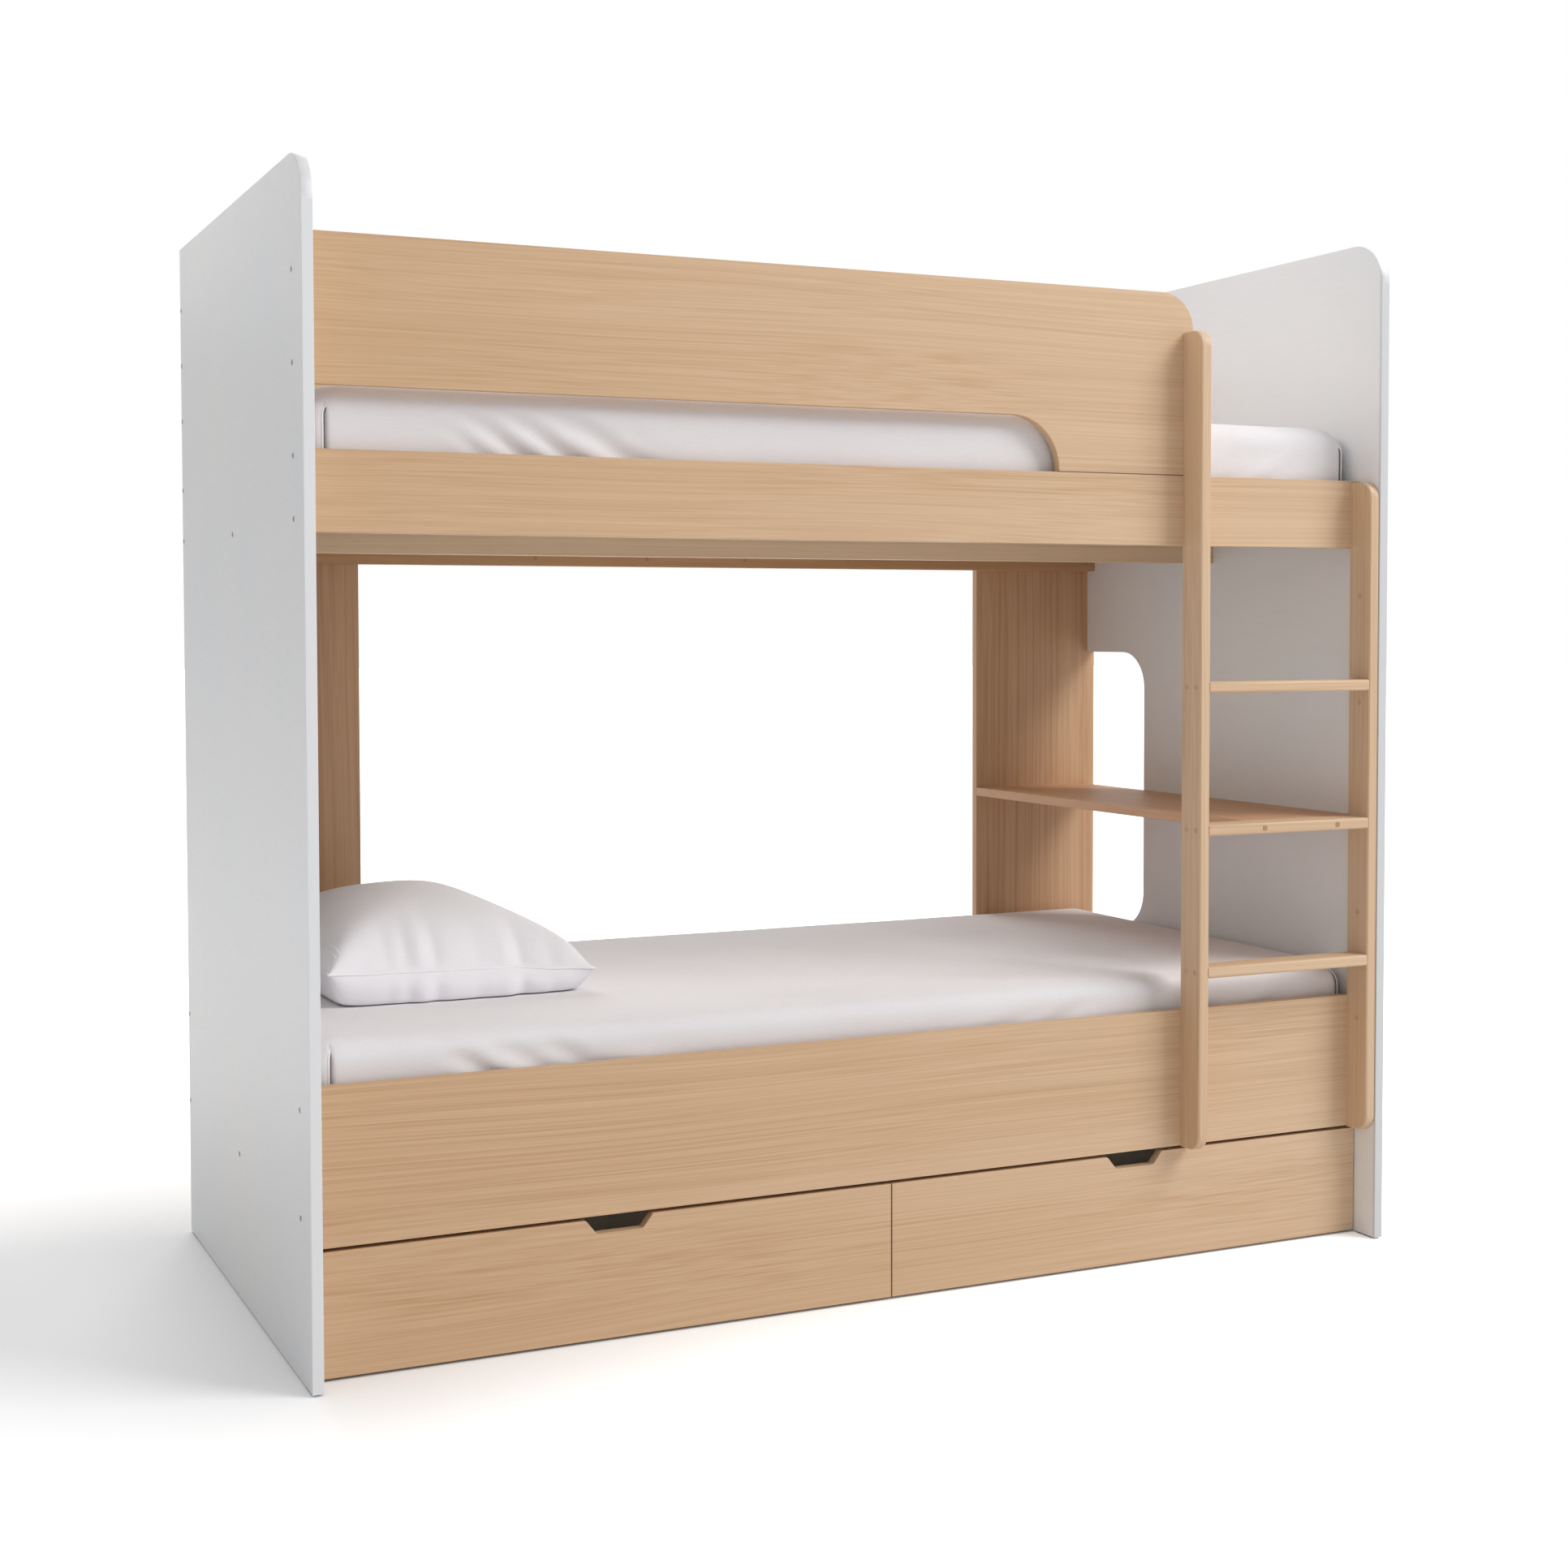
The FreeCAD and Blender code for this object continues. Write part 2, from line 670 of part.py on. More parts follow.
def drawer_box(side, x):
    """Two sides, a back and a bottom in their grooves, and a stiffening rail below."""
    inner = "box_width / 2 - box_wall"
    grooved(side + "_drawer_left_side", "box_wall", "box_depth", x + " - box_width / 2",
            "board_back", "groove_depth", "box_depth",
            x + " - (" + inner + ") - groove_depth", "board_back")
    grooved(side + "_drawer_right_side", "box_wall", "box_depth", x + " + " + inner,
            "board_back", "groove_depth", "box_depth", x + " + " + inner, "board_back")
    grooved(side + "_drawer_back", "2 * (" + inner + ")", "box_wall", x + " - (" + inner + ")",
            "box_rear - box_wall", "2 * (" + inner + ")", "groove_depth",
            x + " - (" + inner + ")", "box_rear - box_wall")
    reach = "groove_depth - groove_fit"
    label = side + "_drawer_bottom"
    node(box(label, "2 * (" + inner + " + " + reach + ")",
             "box_depth - box_wall - groove_fit + " + reach, "bottom_thickness",
             x + " - (" + inner + " + " + reach + ")", "board_back + groove_fit",
             "box_bottom + groove_lift"), label)
    label = side + "_drawer_stiffener"
    node(box(label, "stiffener_width", "box_depth - box_wall", "stiffener_height",
             x + " - stiffener_width / 2", "board_back",
             "box_bottom + groove_lift - stiffener_height"), label)


def castor_outline(middle):
    """Section of a castor: a plate with two cheeks."""
    inner = "(wheel_width / 2 + wheel_side_gap)"
    outer = "(wheel_width / 2 + wheel_side_gap + cheek_thickness)"
    plate = "castor_plate_width / 2"
    low = "wheel_radius - cheek_drop"
    right = [
        (inner, "plate_bottom"),
        (inner, low),
        (outer, low),
        (outer, "plate_bottom"),
        (plate, "plate_bottom"),
        (plate, "box_bottom"),
    ]
    left = [("-" + x, z) for x, z in reversed(right)]
    return [(middle + " + " + x if x[0] != "-" else middle + " - " + x[1:], z) for x, z in right + left]


CASTORS_PER_SIDE = "2"


def castors(side, x):
    """Four fixed castors under the drawer sides: housings, axles and wheels."""
    housings = new_body(side + "_castor_housings", x, "0", "0", loose=True)
    sketch = new_sketch(housings, "XZ_Plane", "-(front_castor - castor_length / 2)")
    draw_outline(sketch, castor_outline("castor_middle"))
    draw_outline(sketch, castor_outline("-castor_middle"))
    section = pad(housings, sketch, "castor_length", reverse=True)
    repeat_along(housings, [section], "Y_Axis", "rear_castor - front_castor",
                 CASTORS_PER_SIDE)
    # The axles snap up into slots that are open at the bottom of the cheeks.
    slots = new_sketch(housings, "YZ_Plane")
    half_slot = "(axle_diameter / 2 + axle_hold_fit)"
    for y in ("front_castor", "rear_castor"):
        draw_outline(slots, rectangle(y + " - " + half_slot, "0", y + " + " + half_slot,
                                      "wheel_radius + " + half_slot))
    pocket(housings, slots)

    reach = "wheel_width / 2 + wheel_side_gap + cheek_thickness"
    centres = [("front_castor", "wheel_radius"), ("rear_castor", "wheel_radius")]
    axles = new_body(side + "_castor_axles", x, "0", "0", loose=True)
    axle_sketch = new_sketch(axles, "YZ_Plane", "castor_middle - (" + reach + ")")
    draw_circles(axle_sketch, centres, "axle_diameter / 2")
    mirror_ends(axles, [pad(axles, axle_sketch, "2 * (" + reach + ")")])

    for end, y in (("front", "front_castor"), ("rear", "rear_castor")):
        for hand, sign in (("left", " - "), ("right", " + ")):
            label = "%s_drawer_%s_%s_wheel" % (side, end, hand)
            wheel = new_body(label, x + sign + "castor_middle", y, "wheel_radius")
            profile = new_sketch(wheel, "XZ_Plane")
            bore = "axle_diameter / 2 + axle_running_fit"
            draw_outline(
                profile,
                rectangle("-wheel_width / 2", bore, "wheel_width / 2", "wheel_radius"),
            )
            turned = wheel.newObject("PartDesign::Revolution", "Revolution_" + label)
            turned.Profile = profile
            turned.ReferenceAxis = (profile, ["H_Axis"])
            turned.Angle = 360


for side, middle in (("left", "-(drawer_middle)"), ("right", "drawer_middle")):
    drawer_front(side, middle)
    drawer_box(side, middle)
    castors(side, middle)


# ---------------------------------------------------------------- mattresses and pillow
def mattress(label, slat_top, height):
    outline = rectangle("-mattress_length / 2", "-mattress_width / 2",
                        "mattress_length / 2", "mattress_width / 2")
    body = profile_board(label, "XY_Plane", "0", "beam_middle", slat_top + " + rest_gap",
                         outline, height)
    round_corners(body, 2, outline, "mattress_corner")


mattress("upper_mattress", "upper_slat_bottom + slat_thickness", "upper_mattress_height")
mattress("lower_mattress", "lower_slat_bottom + slat_thickness", "lower_mattress_height")

pillow = profile_board(
    "pillow",
    "XY_Plane",
    "-inside / 2 + pillow_end_gap",
    "beam_middle + pillow_offset",
    "lower_slat_bottom + slat_thickness + lower_mattress_height + 2 * rest_gap",
    rectangle("0", "-pillow_length / 2", "pillow_width", "pillow_length / 2"),
    "pillow_height",
)
bevel_edges(
    pillow,
    ["Edge%d" % index for index in range(1, len(pillow.Tip.Shape.Edges) + 1)],
    "pillow_edge",
)


# ---------------------------------------------------------------- check and write
doc.recompute()
for thing in doc.Objects:
    if "Invalid" in thing.State or "Error" in thing.State:
        raise RuntimeError("%s failed: %s" % (thing.Label, thing.State))
for thing in NODES:
    if thing.Shape.isNull() or not thing.Shape.isValid():
        raise RuntimeError(thing.Label + " has no valid shape")
    if not thing.Shape.Solids:
        raise RuntimeError(thing.Label + " holds no solid")

os.makedirs("parts", exist_ok=True)
for thing in NODES:
    thing.Shape.exportStep("parts/%s.step" % thing.Label)
print("%d nodes, %d solids" % (len(NODES), sum(len(thing.Shape.Solids) for thing in NODES)))
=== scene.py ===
import math

import bmesh
import bpy
import numpy as np
from mathutils import Matrix, Vector
from mathutils.bvhtree import BVHTree


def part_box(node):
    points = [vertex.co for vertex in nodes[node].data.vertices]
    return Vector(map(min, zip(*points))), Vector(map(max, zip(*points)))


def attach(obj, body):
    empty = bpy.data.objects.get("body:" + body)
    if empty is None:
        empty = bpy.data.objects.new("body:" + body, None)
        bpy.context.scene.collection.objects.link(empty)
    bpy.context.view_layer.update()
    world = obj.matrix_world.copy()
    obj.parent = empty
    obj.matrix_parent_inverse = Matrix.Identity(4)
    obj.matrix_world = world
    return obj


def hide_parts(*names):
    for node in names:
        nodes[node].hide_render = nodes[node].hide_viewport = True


# A child's bunk bed: white end panels, beech-print boards, a ladder with a bedside shelf, two
# drawers on castors, two foam mattresses in fitted sheets and a pillow. Metres; +X runs
# along the bed to the ladder, -Y is the front and +Z is up.

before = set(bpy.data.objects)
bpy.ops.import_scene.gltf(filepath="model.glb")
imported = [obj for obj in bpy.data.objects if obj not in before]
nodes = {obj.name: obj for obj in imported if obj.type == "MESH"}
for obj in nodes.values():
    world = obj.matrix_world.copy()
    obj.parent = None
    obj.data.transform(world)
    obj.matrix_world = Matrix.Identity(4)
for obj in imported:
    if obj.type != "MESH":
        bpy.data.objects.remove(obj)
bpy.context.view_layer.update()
scene = bpy.context.scene
MM = 0.001


# ---------------------------------------------------------------- camera
# A standing viewer's camera in front of the bed's left end, level but for two degrees. Its
# standard lens is shifted a little, as a view camera's is, to keep the uprights near upright.
CAMERA_PLACE = Vector((-1776.76, -3767.74, 1167.51)) * MM
yaw, pitch, roll = (math.radians(angle) for angle in (24.55, 2.14, -0.14))

forward = Vector((math.sin(yaw) * math.cos(pitch), math.cos(yaw) * math.cos(pitch), -math.sin(pitch)))
level_right = Vector((math.cos(yaw), -math.sin(yaw), 0))
level_up = level_right.cross(forward)
right = level_right * math.cos(roll) + level_up * math.sin(roll)
up = level_up * math.cos(roll) - level_right * math.sin(roll)
camera_data = bpy.data.cameras.new("camera")
camera_data.sensor_width = 36
camera_data.lens = 50.30
camera_data.shift_x = 0.0190
camera_data.shift_y = -0.0483
camera = bpy.data.objects.new("camera", camera_data)
camera.matrix_world = Matrix.Translation(CAMERA_PLACE) @ Matrix((right, up, -forward)).transposed().to_4x4()
scene.collection.objects.link(camera)
scene.camera = camera


# ---------------------------------------------------------------- end panels
# Two 18 mm chipboard panels faced with white melamine and edged with 1 mm white band. The
# facing is pressed with a faint wood pore, which shows only as a break in the sheen.
def colour(code):
    """The linear colour of an sRGB hex code."""
    parts = [int(code[start:start + 2], 16) / 255 for start in (1, 3, 5)]
    return (*[part / 12.92 if part <= 0.04045 else ((part + 0.055) / 1.055) ** 2.4 for part in parts], 1)


def add_node(tree, kind, inputs=(), **settings):
    """A shader node with its settings; an input takes a value or another node's output."""
    made = tree.nodes.new("ShaderNode" + kind)
    for name, value in settings.items():
        setattr(made, name, value)
    for socket, value in dict(inputs).items():
        if isinstance(value, bpy.types.NodeSocket):
            tree.links.new(value, made.inputs[socket])
        else:
            made.inputs[socket].default_value = value
    return made


def new_finish(name, roughness, **settings):
    """An empty finish: its material, node tree and principled shader."""
    material = bpy.data.materials.new(name)
    material.use_nodes = True
    shader = material.node_tree.nodes["Principled BSDF"]
    shader.inputs["Roughness"].default_value = roughness
    for socket, value in settings.items():
        shader.inputs[socket.replace("_", " ").title()].default_value = value
    return material, material.node_tree, shader


def finish_with(name, material, edge):
    """Give a CAD node its finish and, live, the small round that its edges have."""
    board = nodes[name]
    if not board.material_slots:
        board.data.materials.append(material)
    for slot in board.material_slots:
        slot.material = material
    weld = board.modifiers.new("one_skin", "WELD")
    weld.merge_threshold = 0.01 * MM
    round_edge = board.modifiers.new("eased_edges", "BEVEL")
    round_edge.width = edge
    round_edge.segments = 2
    round_edge.limit_method = "ANGLE"
    round_edge.angle_limit = math.radians(35)
    round_edge.harden_normals = True


def melamine(name, cool, warm, pore, band, front):
    """White melamine board; its front edge, up to 8 mm behind the Y of front, has a band's tone.

    Printed paper under pressed resin looks satin, with pores that show against the light, and its
    white drifts between a cool and a warm one.
    """
    material, tree, shader = new_finish(name, 0.42)
    place = add_node(tree, "TexCoord").outputs["Object"]
    # Pores are 25 mm long and 1.2 mm wide; drawn 60 x 2.5 mm, so that they show at all.
    pore_scale = (1 / (60 * MM), 1 / (60 * MM), 1 / (2.5 * MM))
    pore_map = add_node(tree, "Mapping", {"Vector": place, "Scale": pore_scale})
    pores = add_node(tree, "TexNoise", {"Vector": pore_map.outputs[0], "Scale": 1.0, "Detail": 2.0})
    cloud_map = add_node(tree, "Mapping", {"Vector": place, "Scale": (1 / (400 * MM),) * 3})
    clouds = add_node(tree, "TexNoise", {"Vector": cloud_map.outputs[0], "Scale": 1.0, "Detail": 3.0})
    tone = add_node(tree, "MapRange", {"Value": clouds.outputs["Fac"], "From Min": 0.35, "From Max": 0.65})
    paint = add_node(tree, "Mix", {0: tone.outputs[0], 6: colour(cool), 7: colour(warm)}, data_type="RGBA")
    streak = add_node(tree, "MapRange", {"Value": pores.outputs["Fac"], "From Min": 0.55, "From Max": 0.8,
                                         "To Max": 0.5})
    facing = add_node(tree, "Mix", {0: streak.outputs[0], 6: paint.outputs[2], 7: colour(pore)},
                      data_type="RGBA")
    axes = add_node(tree, "SeparateXYZ", {"Vector": place})
    # On the ladder end's panel the band's tone is painted shade, greyer than its faces.
    banded = add_node(tree, "MapRange", {"Value": axes.outputs["Y"], "From Min": front + 1 * MM,
                                         "From Max": front + 8 * MM, "To Min": 1.0, "To Max": 0.0})
    facing = add_node(tree, "Mix", {0: banded.outputs[0], 6: facing.outputs[2], 7: colour(band)},
                      data_type="RGBA")
    sheen_break = add_node(tree, "MapRange", {"Value": pores.outputs["Fac"], "To Min": 0.36, "To Max": 0.5})
    pressed = add_node(tree, "Bump", {"Height": pores.outputs["Fac"], "Strength": 0.25,
                                      "Distance": 0.05 * MM})
    tree.links.new(facing.outputs[2], shader.inputs["Base Color"])
    tree.links.new(sheen_break.outputs[0], shader.inputs["Roughness"])
    tree.links.new(pressed.outputs[0], shader.inputs["Normal"])
    return material


# Both panels are one white melamine. Painted shade: the head end's faces are drawn a shade greyer, and the
# ladder end's front band is drawn greyer than its faces, where the lamp falls hard on it.
panel_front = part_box("right_end_panel")[0].y
head_melamine_painted_shade = melamine("painted_shade_white_melamine_head", cool="#E4E5E7", warm="#E8E7E6", pore="#DEDDDC",
                         band="#EDEEF0", front=panel_front)
ladder_melamine_band_shade = melamine("painted_shade_band_white_melamine_ladder", cool="#EDEEF0", warm="#F2F1F0", pore="#E8E7E6",
                           band="#D2D3D5", front=panel_front)
finish_with("left_end_panel", head_melamine_painted_shade, edge=1.0 * MM)
finish_with("right_end_panel", ladder_melamine_band_shade, edge=1.0 * MM)


# ---------------------------------------------------------------- connecting screws
# The boards are pulled to the end panels by zinc-plated connecting screws; each has a low
# chamfered head, 10 mm across, with a socket for a 4 mm key, which is drawn round.
# Zinc plate is a dull grey metal, mottled every 2 mm or so where hands and tools have rubbed it.
zinc_plate, tree, shader = new_finish("zinc_plated_steel", 0.38, metallic=1.0)
place = add_node(tree, "TexCoord").outputs["Object"]
rub_map = add_node(tree, "Mapping", {"Vector": place, "Scale": (1 / (2 * MM),) * 3})
rubbed = add_node(tree, "TexNoise", {"Vector": rub_map.outputs[0], "Scale": 1.0, "Detail": 2.0})
plating = add_node(tree, "Mix", {0: rubbed.outputs["Fac"], 6: colour("#8A8C90"), 7: colour("#727478")},
                   data_type="RGBA")
worn = add_node(tree, "MapRange", {"Value": rubbed.outputs["Fac"], "To Min": 0.28, "To Max": 0.5})
tree.links.new(plating.outputs[2], shader.inputs["Base Color"])
tree.links.new(worn.outputs[0], shader.inputs["Roughness"])


def cap_centres(name):
    """The middle of each separate cap of a CAD node."""
    caps = bmesh.new()
    caps.from_mesh(nodes[name].data)
    bmesh.ops.remove_doubles(caps, verts=caps.verts, dist=0.01 * MM)
    waiting, centres = set(caps.verts), []
    while waiting:
        island, reached = set(), [next(iter(waiting))]
        while reached:
            vertex = reached.pop()
            if vertex not in island:
                island.add(vertex)
                reached += [edge.other_vert(vertex) for edge in vertex.link_edges]
        waiting -= island
        places = [vertex.co for vertex in island]
        centres.append(Vector([(min(c) + max(c)) / 2 for c in zip(*places)]))
    caps.free()
    return sorted(centres, key=tuple)


def add_piece(name, mesh, body, material):
    """A new piece from a bmesh, riding on a body of the frame."""
    data = bpy.data.meshes.new(name)
    mesh.to_mesh(data)
    mesh.free()
    piece = bpy.data.objects.new(name, data)
    scene.collection.objects.link(piece)
    data.materials.append(material)
    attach(piece, body)
    return piece


def screw_heads(name, centres, facing_way, radius, socket, material, segments=24):
    """Low chamfered heads lying on a face that looks along facing_way, each with a round socket."""
    height, top_share, chamfer, socket_depth = 0.55 * MM, 0.9, 0.1 * MM, 0.5 * MM
    head = bmesh.new()
    circle = bmesh.ops.create_circle(head, cap_ends=True, segments=segments, radius=radius)
    disc = circle["verts"][0].link_faces[0]
    grown = bmesh.ops.extrude_face_region(head, geom=[disc])["geom"]
    top = [part for part in grown if isinstance(part, bmesh.types.BMVert)]
    face = [part for part in grown if isinstance(part, bmesh.types.BMFace)][0]
    bmesh.ops.delete(head, geom=[disc], context="FACES_ONLY")
    bmesh.ops.translate(head, verts=top, vec=(0, 0, height))
    bmesh.ops.scale(head, verts=top, vec=(top_share, top_share, 1))
    bmesh.ops.inset_region(head, faces=[face], thickness=radius * top_share - socket)
    bmesh.ops.inset_region(head, faces=[face], thickness=chamfer)
    bmesh.ops.translate(head, verts=face.verts, vec=(0, 0, -socket_depth))
    bmesh.ops.recalc_face_normals(head, faces=head.faces)
    turn = Vector((0, 0, 1)).rotation_difference(Vector(facing_way)).to_matrix().to_4x4()
    bmesh.ops.transform(head, verts=head.verts, matrix=turn)
    one = bpy.data.meshes.new("screw_head")
    head.to_mesh(one)
    head.free()
    heads = bmesh.new()
    for centre in centres:
        before = len(heads.verts)
        heads.from_mesh(one)
        heads.verts.ensure_lookup_table()
        bmesh.ops.translate(heads, verts=heads.verts[before:], vec=centre)
    return add_piece(name, heads, "bed", material)


CAP_HALF_HEIGHT = 0.3 * MM
for side, way in (("left", (-1, 0, 0)), ("right", (1, 0, 0))):
    centres = [centre - Vector(way) * CAP_HALF_HEIGHT for centre in cap_centres(side + "_panel_caps")]
    heads = screw_heads(side + "_panel_screws", centres, way, radius=4.9 * MM, socket=2.3 * MM,
                        material=zinc_plate)
    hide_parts(side + "_panel_caps")


# ---------------------------------------------------------------- beech-print boards
# Rails, guards, rear boards, shelf, ladder and drawer fronts are chipboard faced with beech
# print melamine: a warm tan ground with long, soft, slightly darker growth lines.
def wood_finish(name, grain, light, dark, line_width, depth=1.0, knots=False, roughness=0.5,
                head_end_painted_shade="#FFFFFF", foot=None):
    """Wood whose fibres run along grain; line_width is the growth lines' spacing.

    Painted shade: its colour is drawn darker and yellower along the bed, by a tint given for the head end,
    away from the ladder, where less lamp light falls. A board that stands on another at the height foot has
    a dark line of painted shade there, for the shadow in the joint.
    """
    material, tree, shader = new_finish(name, roughness)
    place = add_node(tree, "TexCoord").outputs["Object"]
    axes = add_node(tree, "SeparateXYZ", {"Vector": place})
    order = {"X": "XYZ", "Y": "YXZ", "Z": "ZXY"}[grain]
    along = add_node(tree, "CombineXYZ", {i: axes.outputs[axis] for i, axis in enumerate(order)})

    def pattern(vector, length, width, detail):
        """Noise stretched to a length along the fibres and a width across them."""
        stretched = add_node(tree, "Mapping", {"Vector": vector,
                                               "Scale": (1 / length, 1 / width, 1 / width)})
        return add_node(tree, "TexNoise", {"Vector": stretched.outputs[0], "Scale": 1.0, "Detail": detail})

    wander = pattern(along.outputs[0], 1600 * MM, 260 * MM, 1.0)
    centred = add_node(tree, "VectorMath", {0: wander.outputs["Color"], 1: (0.5, 0.5, 0.5)},
                       operation="SUBTRACT")
    sway = add_node(tree, "VectorMath", {0: centred.outputs[0], 1: (0, 60 * MM, 60 * MM)},
                    operation="MULTIPLY")
    fibre = add_node(tree, "VectorMath", {0: along.outputs[0], 1: sway.outputs[0]},
                     operation="ADD").outputs[0]

    lines = pattern(fibre, 420 * line_width, line_width, 1.0)
    bands = pattern(fibre, 2600 * MM, 70 * MM, 1.0)
    fibres = pattern(fibre, 900 * MM, 2.2 * MM, 1.0)
    growth = add_node(tree, "MapRange", {"Value": lines.outputs["Fac"], "From Min": 0.4, "From Max": 0.78,
                                         "To Max": 0.42 * depth})
    banding = add_node(tree, "MapRange", {"Value": bands.outputs["Fac"], "From Min": 0.32, "From Max": 0.68,
                                          "To Min": 0.45, "To Max": 1.0})
    bundled = add_node(tree, "Math", {0: growth.outputs[0], 1: banding.outputs[0]}, operation="MULTIPLY")
    grit = add_node(tree, "MapRange", {"Value": fibres.outputs["Fac"], "From Min": 0.3, "From Max": 0.7,
                                       "To Min": 0.02, "To Max": 0.28})
    tinge = add_node(tree, "MapRange", {"Value": bands.outputs["Fac"], "From Min": 0.35, "From Max": 0.65,
                                        "To Max": 0.1})
    printed = add_node(tree, "Math", {0: bundled.outputs[0], 1: tinge.outputs[0]}, operation="ADD")
    share = add_node(tree, "Math", {0: printed.outputs[0], 1: grit.outputs[0]}, operation="ADD",
                     use_clamp=True)
    wood = add_node(tree, "Mix", {0: share.outputs[0], 6: colour(light), 7: colour(dark)},
                    data_type="RGBA").outputs[2]
    if knots:
        spots = add_node(tree, "Mapping", {"Vector": fibre,
                                           "Scale": (1 / (330 * MM), 1 / (75 * MM), 1 / (75 * MM))})
        cells = add_node(tree, "TexVoronoi", {"Vector": spots.outputs[0], "Scale": 1.0})
        knot = add_node(tree, "MapRange", {"Value": cells.outputs["Distance"], "From Min": 0.05,
                                           "From Max": 0.13, "To Min": 0.8, "To Max": 0.0})
        wood = add_node(tree, "Mix", {0: knot.outputs[0], 6: wood, 7: colour("#6E4A30")},
                        data_type="RGBA").outputs[2]
    # Painted shade: darker and yellower towards the head end, away from the ladder end's lamp.
    reach = add_node(tree, "MapRange", {"Value": axes.outputs["X"], "From Min": -1.0, "From Max": 1.0})
    tint = add_node(tree, "Mix", {0: reach.outputs[0], 6: colour(head_end_painted_shade), 7: (1, 1, 1, 1)},
                    data_type="RGBA")
    wood = add_node(tree, "Mix", {0: 1.0, 6: wood, 7: tint.outputs[2]}, data_type="RGBA",
                    blend_type="MULTIPLY").outputs[2]
    # Painted shade: a dark line where the board stands on another, for the shadow in the joint.
    if foot is not None:
        joint_shade = add_node(tree, "MapRange", {"Value": axes.outputs["Z"], "From Min": foot + 1.2 * MM,
                                            "From Max": foot + 2.0 * MM, "To Min": 0.75, "To Max": 0.0})
        wood = add_node(tree, "Mix", {0: joint_shade.outputs[0], 6: wood, 7: colour("#4E3A2A")},
                        data_type="RGBA").outputs[2]
    pressed = add_node(tree, "Bump", {"Height": fibres.outputs["Fac"], "Strength": 0.2,
                                      "Distance": 0.06 * MM})
    sheen = add_node(tree, "MapRange", {"Value": lines.outputs["Fac"], "To Min": roughness - 0.06,
                                        "To Max": roughness + 0.08})
    tree.links.new(wood, shader.inputs["Base Color"])
    tree.links.new(sheen.outputs[0], shader.inputs["Roughness"])
    tree.links.new(pressed.outputs[0], shader.inputs["Normal"])
    return material


beech_print = {"light": "#DFC2A2", "dark": "#BE956D", "line_width": 4 * MM, "head_end_painted_shade": "#F8EFE4"}
rail_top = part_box("upper_front_rail")[1].z
long_beech = wood_finish("beech_melamine_x", "X", **beech_print)
upright_beech = wood_finish("beech_melamine_z", "Z", **beech_print)
guard_beech_joint_shade = wood_finish("beech_melamine_guard", "X", foot=rail_top, **beech_print)
# Painted shade: the rear boards carry the same beech print, drawn darker and warmer, as they look in the
# shade under the upper bunk.
rear_beech_painted_shade = wood_finish("beech_melamine_rear_painted_shade", "Z", "#D0AA85", "#A8744B", 6 * MM, depth=1.1)
shelf_beech = wood_finish("beech_melamine_shelf", "Y", "#D3A57F", "#B27D56", 7 * MM)
for name in ("upper_front_rail", "upper_rear_rail", "lower_front_rail", "lower_rear_rail",
             "rear_guard_board", "left_drawer_front", "right_drawer_front",
             "ladder_bottom_rung", "ladder_middle_rung", "ladder_top_rung"):
    finish_with(name, long_beech, edge=1.5 * MM)
for name in ("ladder_left_stile", "ladder_right_stile"):
    finish_with(name, upright_beech, edge=1.5 * MM)
finish_with("front_guard_board", guard_beech_joint_shade, edge=2.0 * MM)
for name in ("left_rear_board", "right_rear_board"):
    finish_with(name, rear_beech_painted_shade, edge=0.8 * MM)
finish_with("bedside_shelf", shelf_beech, edge=0.8 * MM)


# Round plastic covers, in a tone near the print's, hide the ladder's own screws.
def moulded_plastic(name, pale, deep, roughness, mottle, relief=0.0):
    """Moulded nylon or polypropylene: evenly matt, with a faint mottle as wide as mottle.

    Its mould may also leave a spark texture, as deep as relief.
    """
    material, tree, shader = new_finish(name, roughness)
    place = add_node(tree, "TexCoord").outputs["Object"]
    mottle_map = add_node(tree, "Mapping", {"Vector": place, "Scale": (1 / mottle,) * 3})
    spots = add_node(tree, "TexNoise", {"Vector": mottle_map.outputs[0], "Scale": 1.0, "Detail": 2.0})
    tone = add_node(tree, "Mix", {0: spots.outputs["Fac"], 6: colour(pale), 7: colour(deep)},
                    data_type="RGBA")
    tree.links.new(tone.outputs[2], shader.inputs["Base Color"])
    if relief:
        spark = add_node(tree, "Bump", {"Height": spots.outputs["Fac"], "Strength": 0.3,
                                        "Distance": relief})
        tree.links.new(spark.outputs[0], shader.inputs["Normal"])
    return material


wood_tone = moulded_plastic("wood_tone_plastic", "#B08C68", "#A07C5A", 0.45, mottle=3 * MM)
pale_wood_tone = moulded_plastic("pale_wood_tone_plastic", "#CDAA86", "#C29C77", 0.45, mottle=3 * MM)
finish_with("middle_rung_caps", wood_tone, edge=0.2 * MM)
for name in ("left_stile_caps", "right_stile_caps"):
    finish_with(name, pale_wood_tone, edge=0.2 * MM)


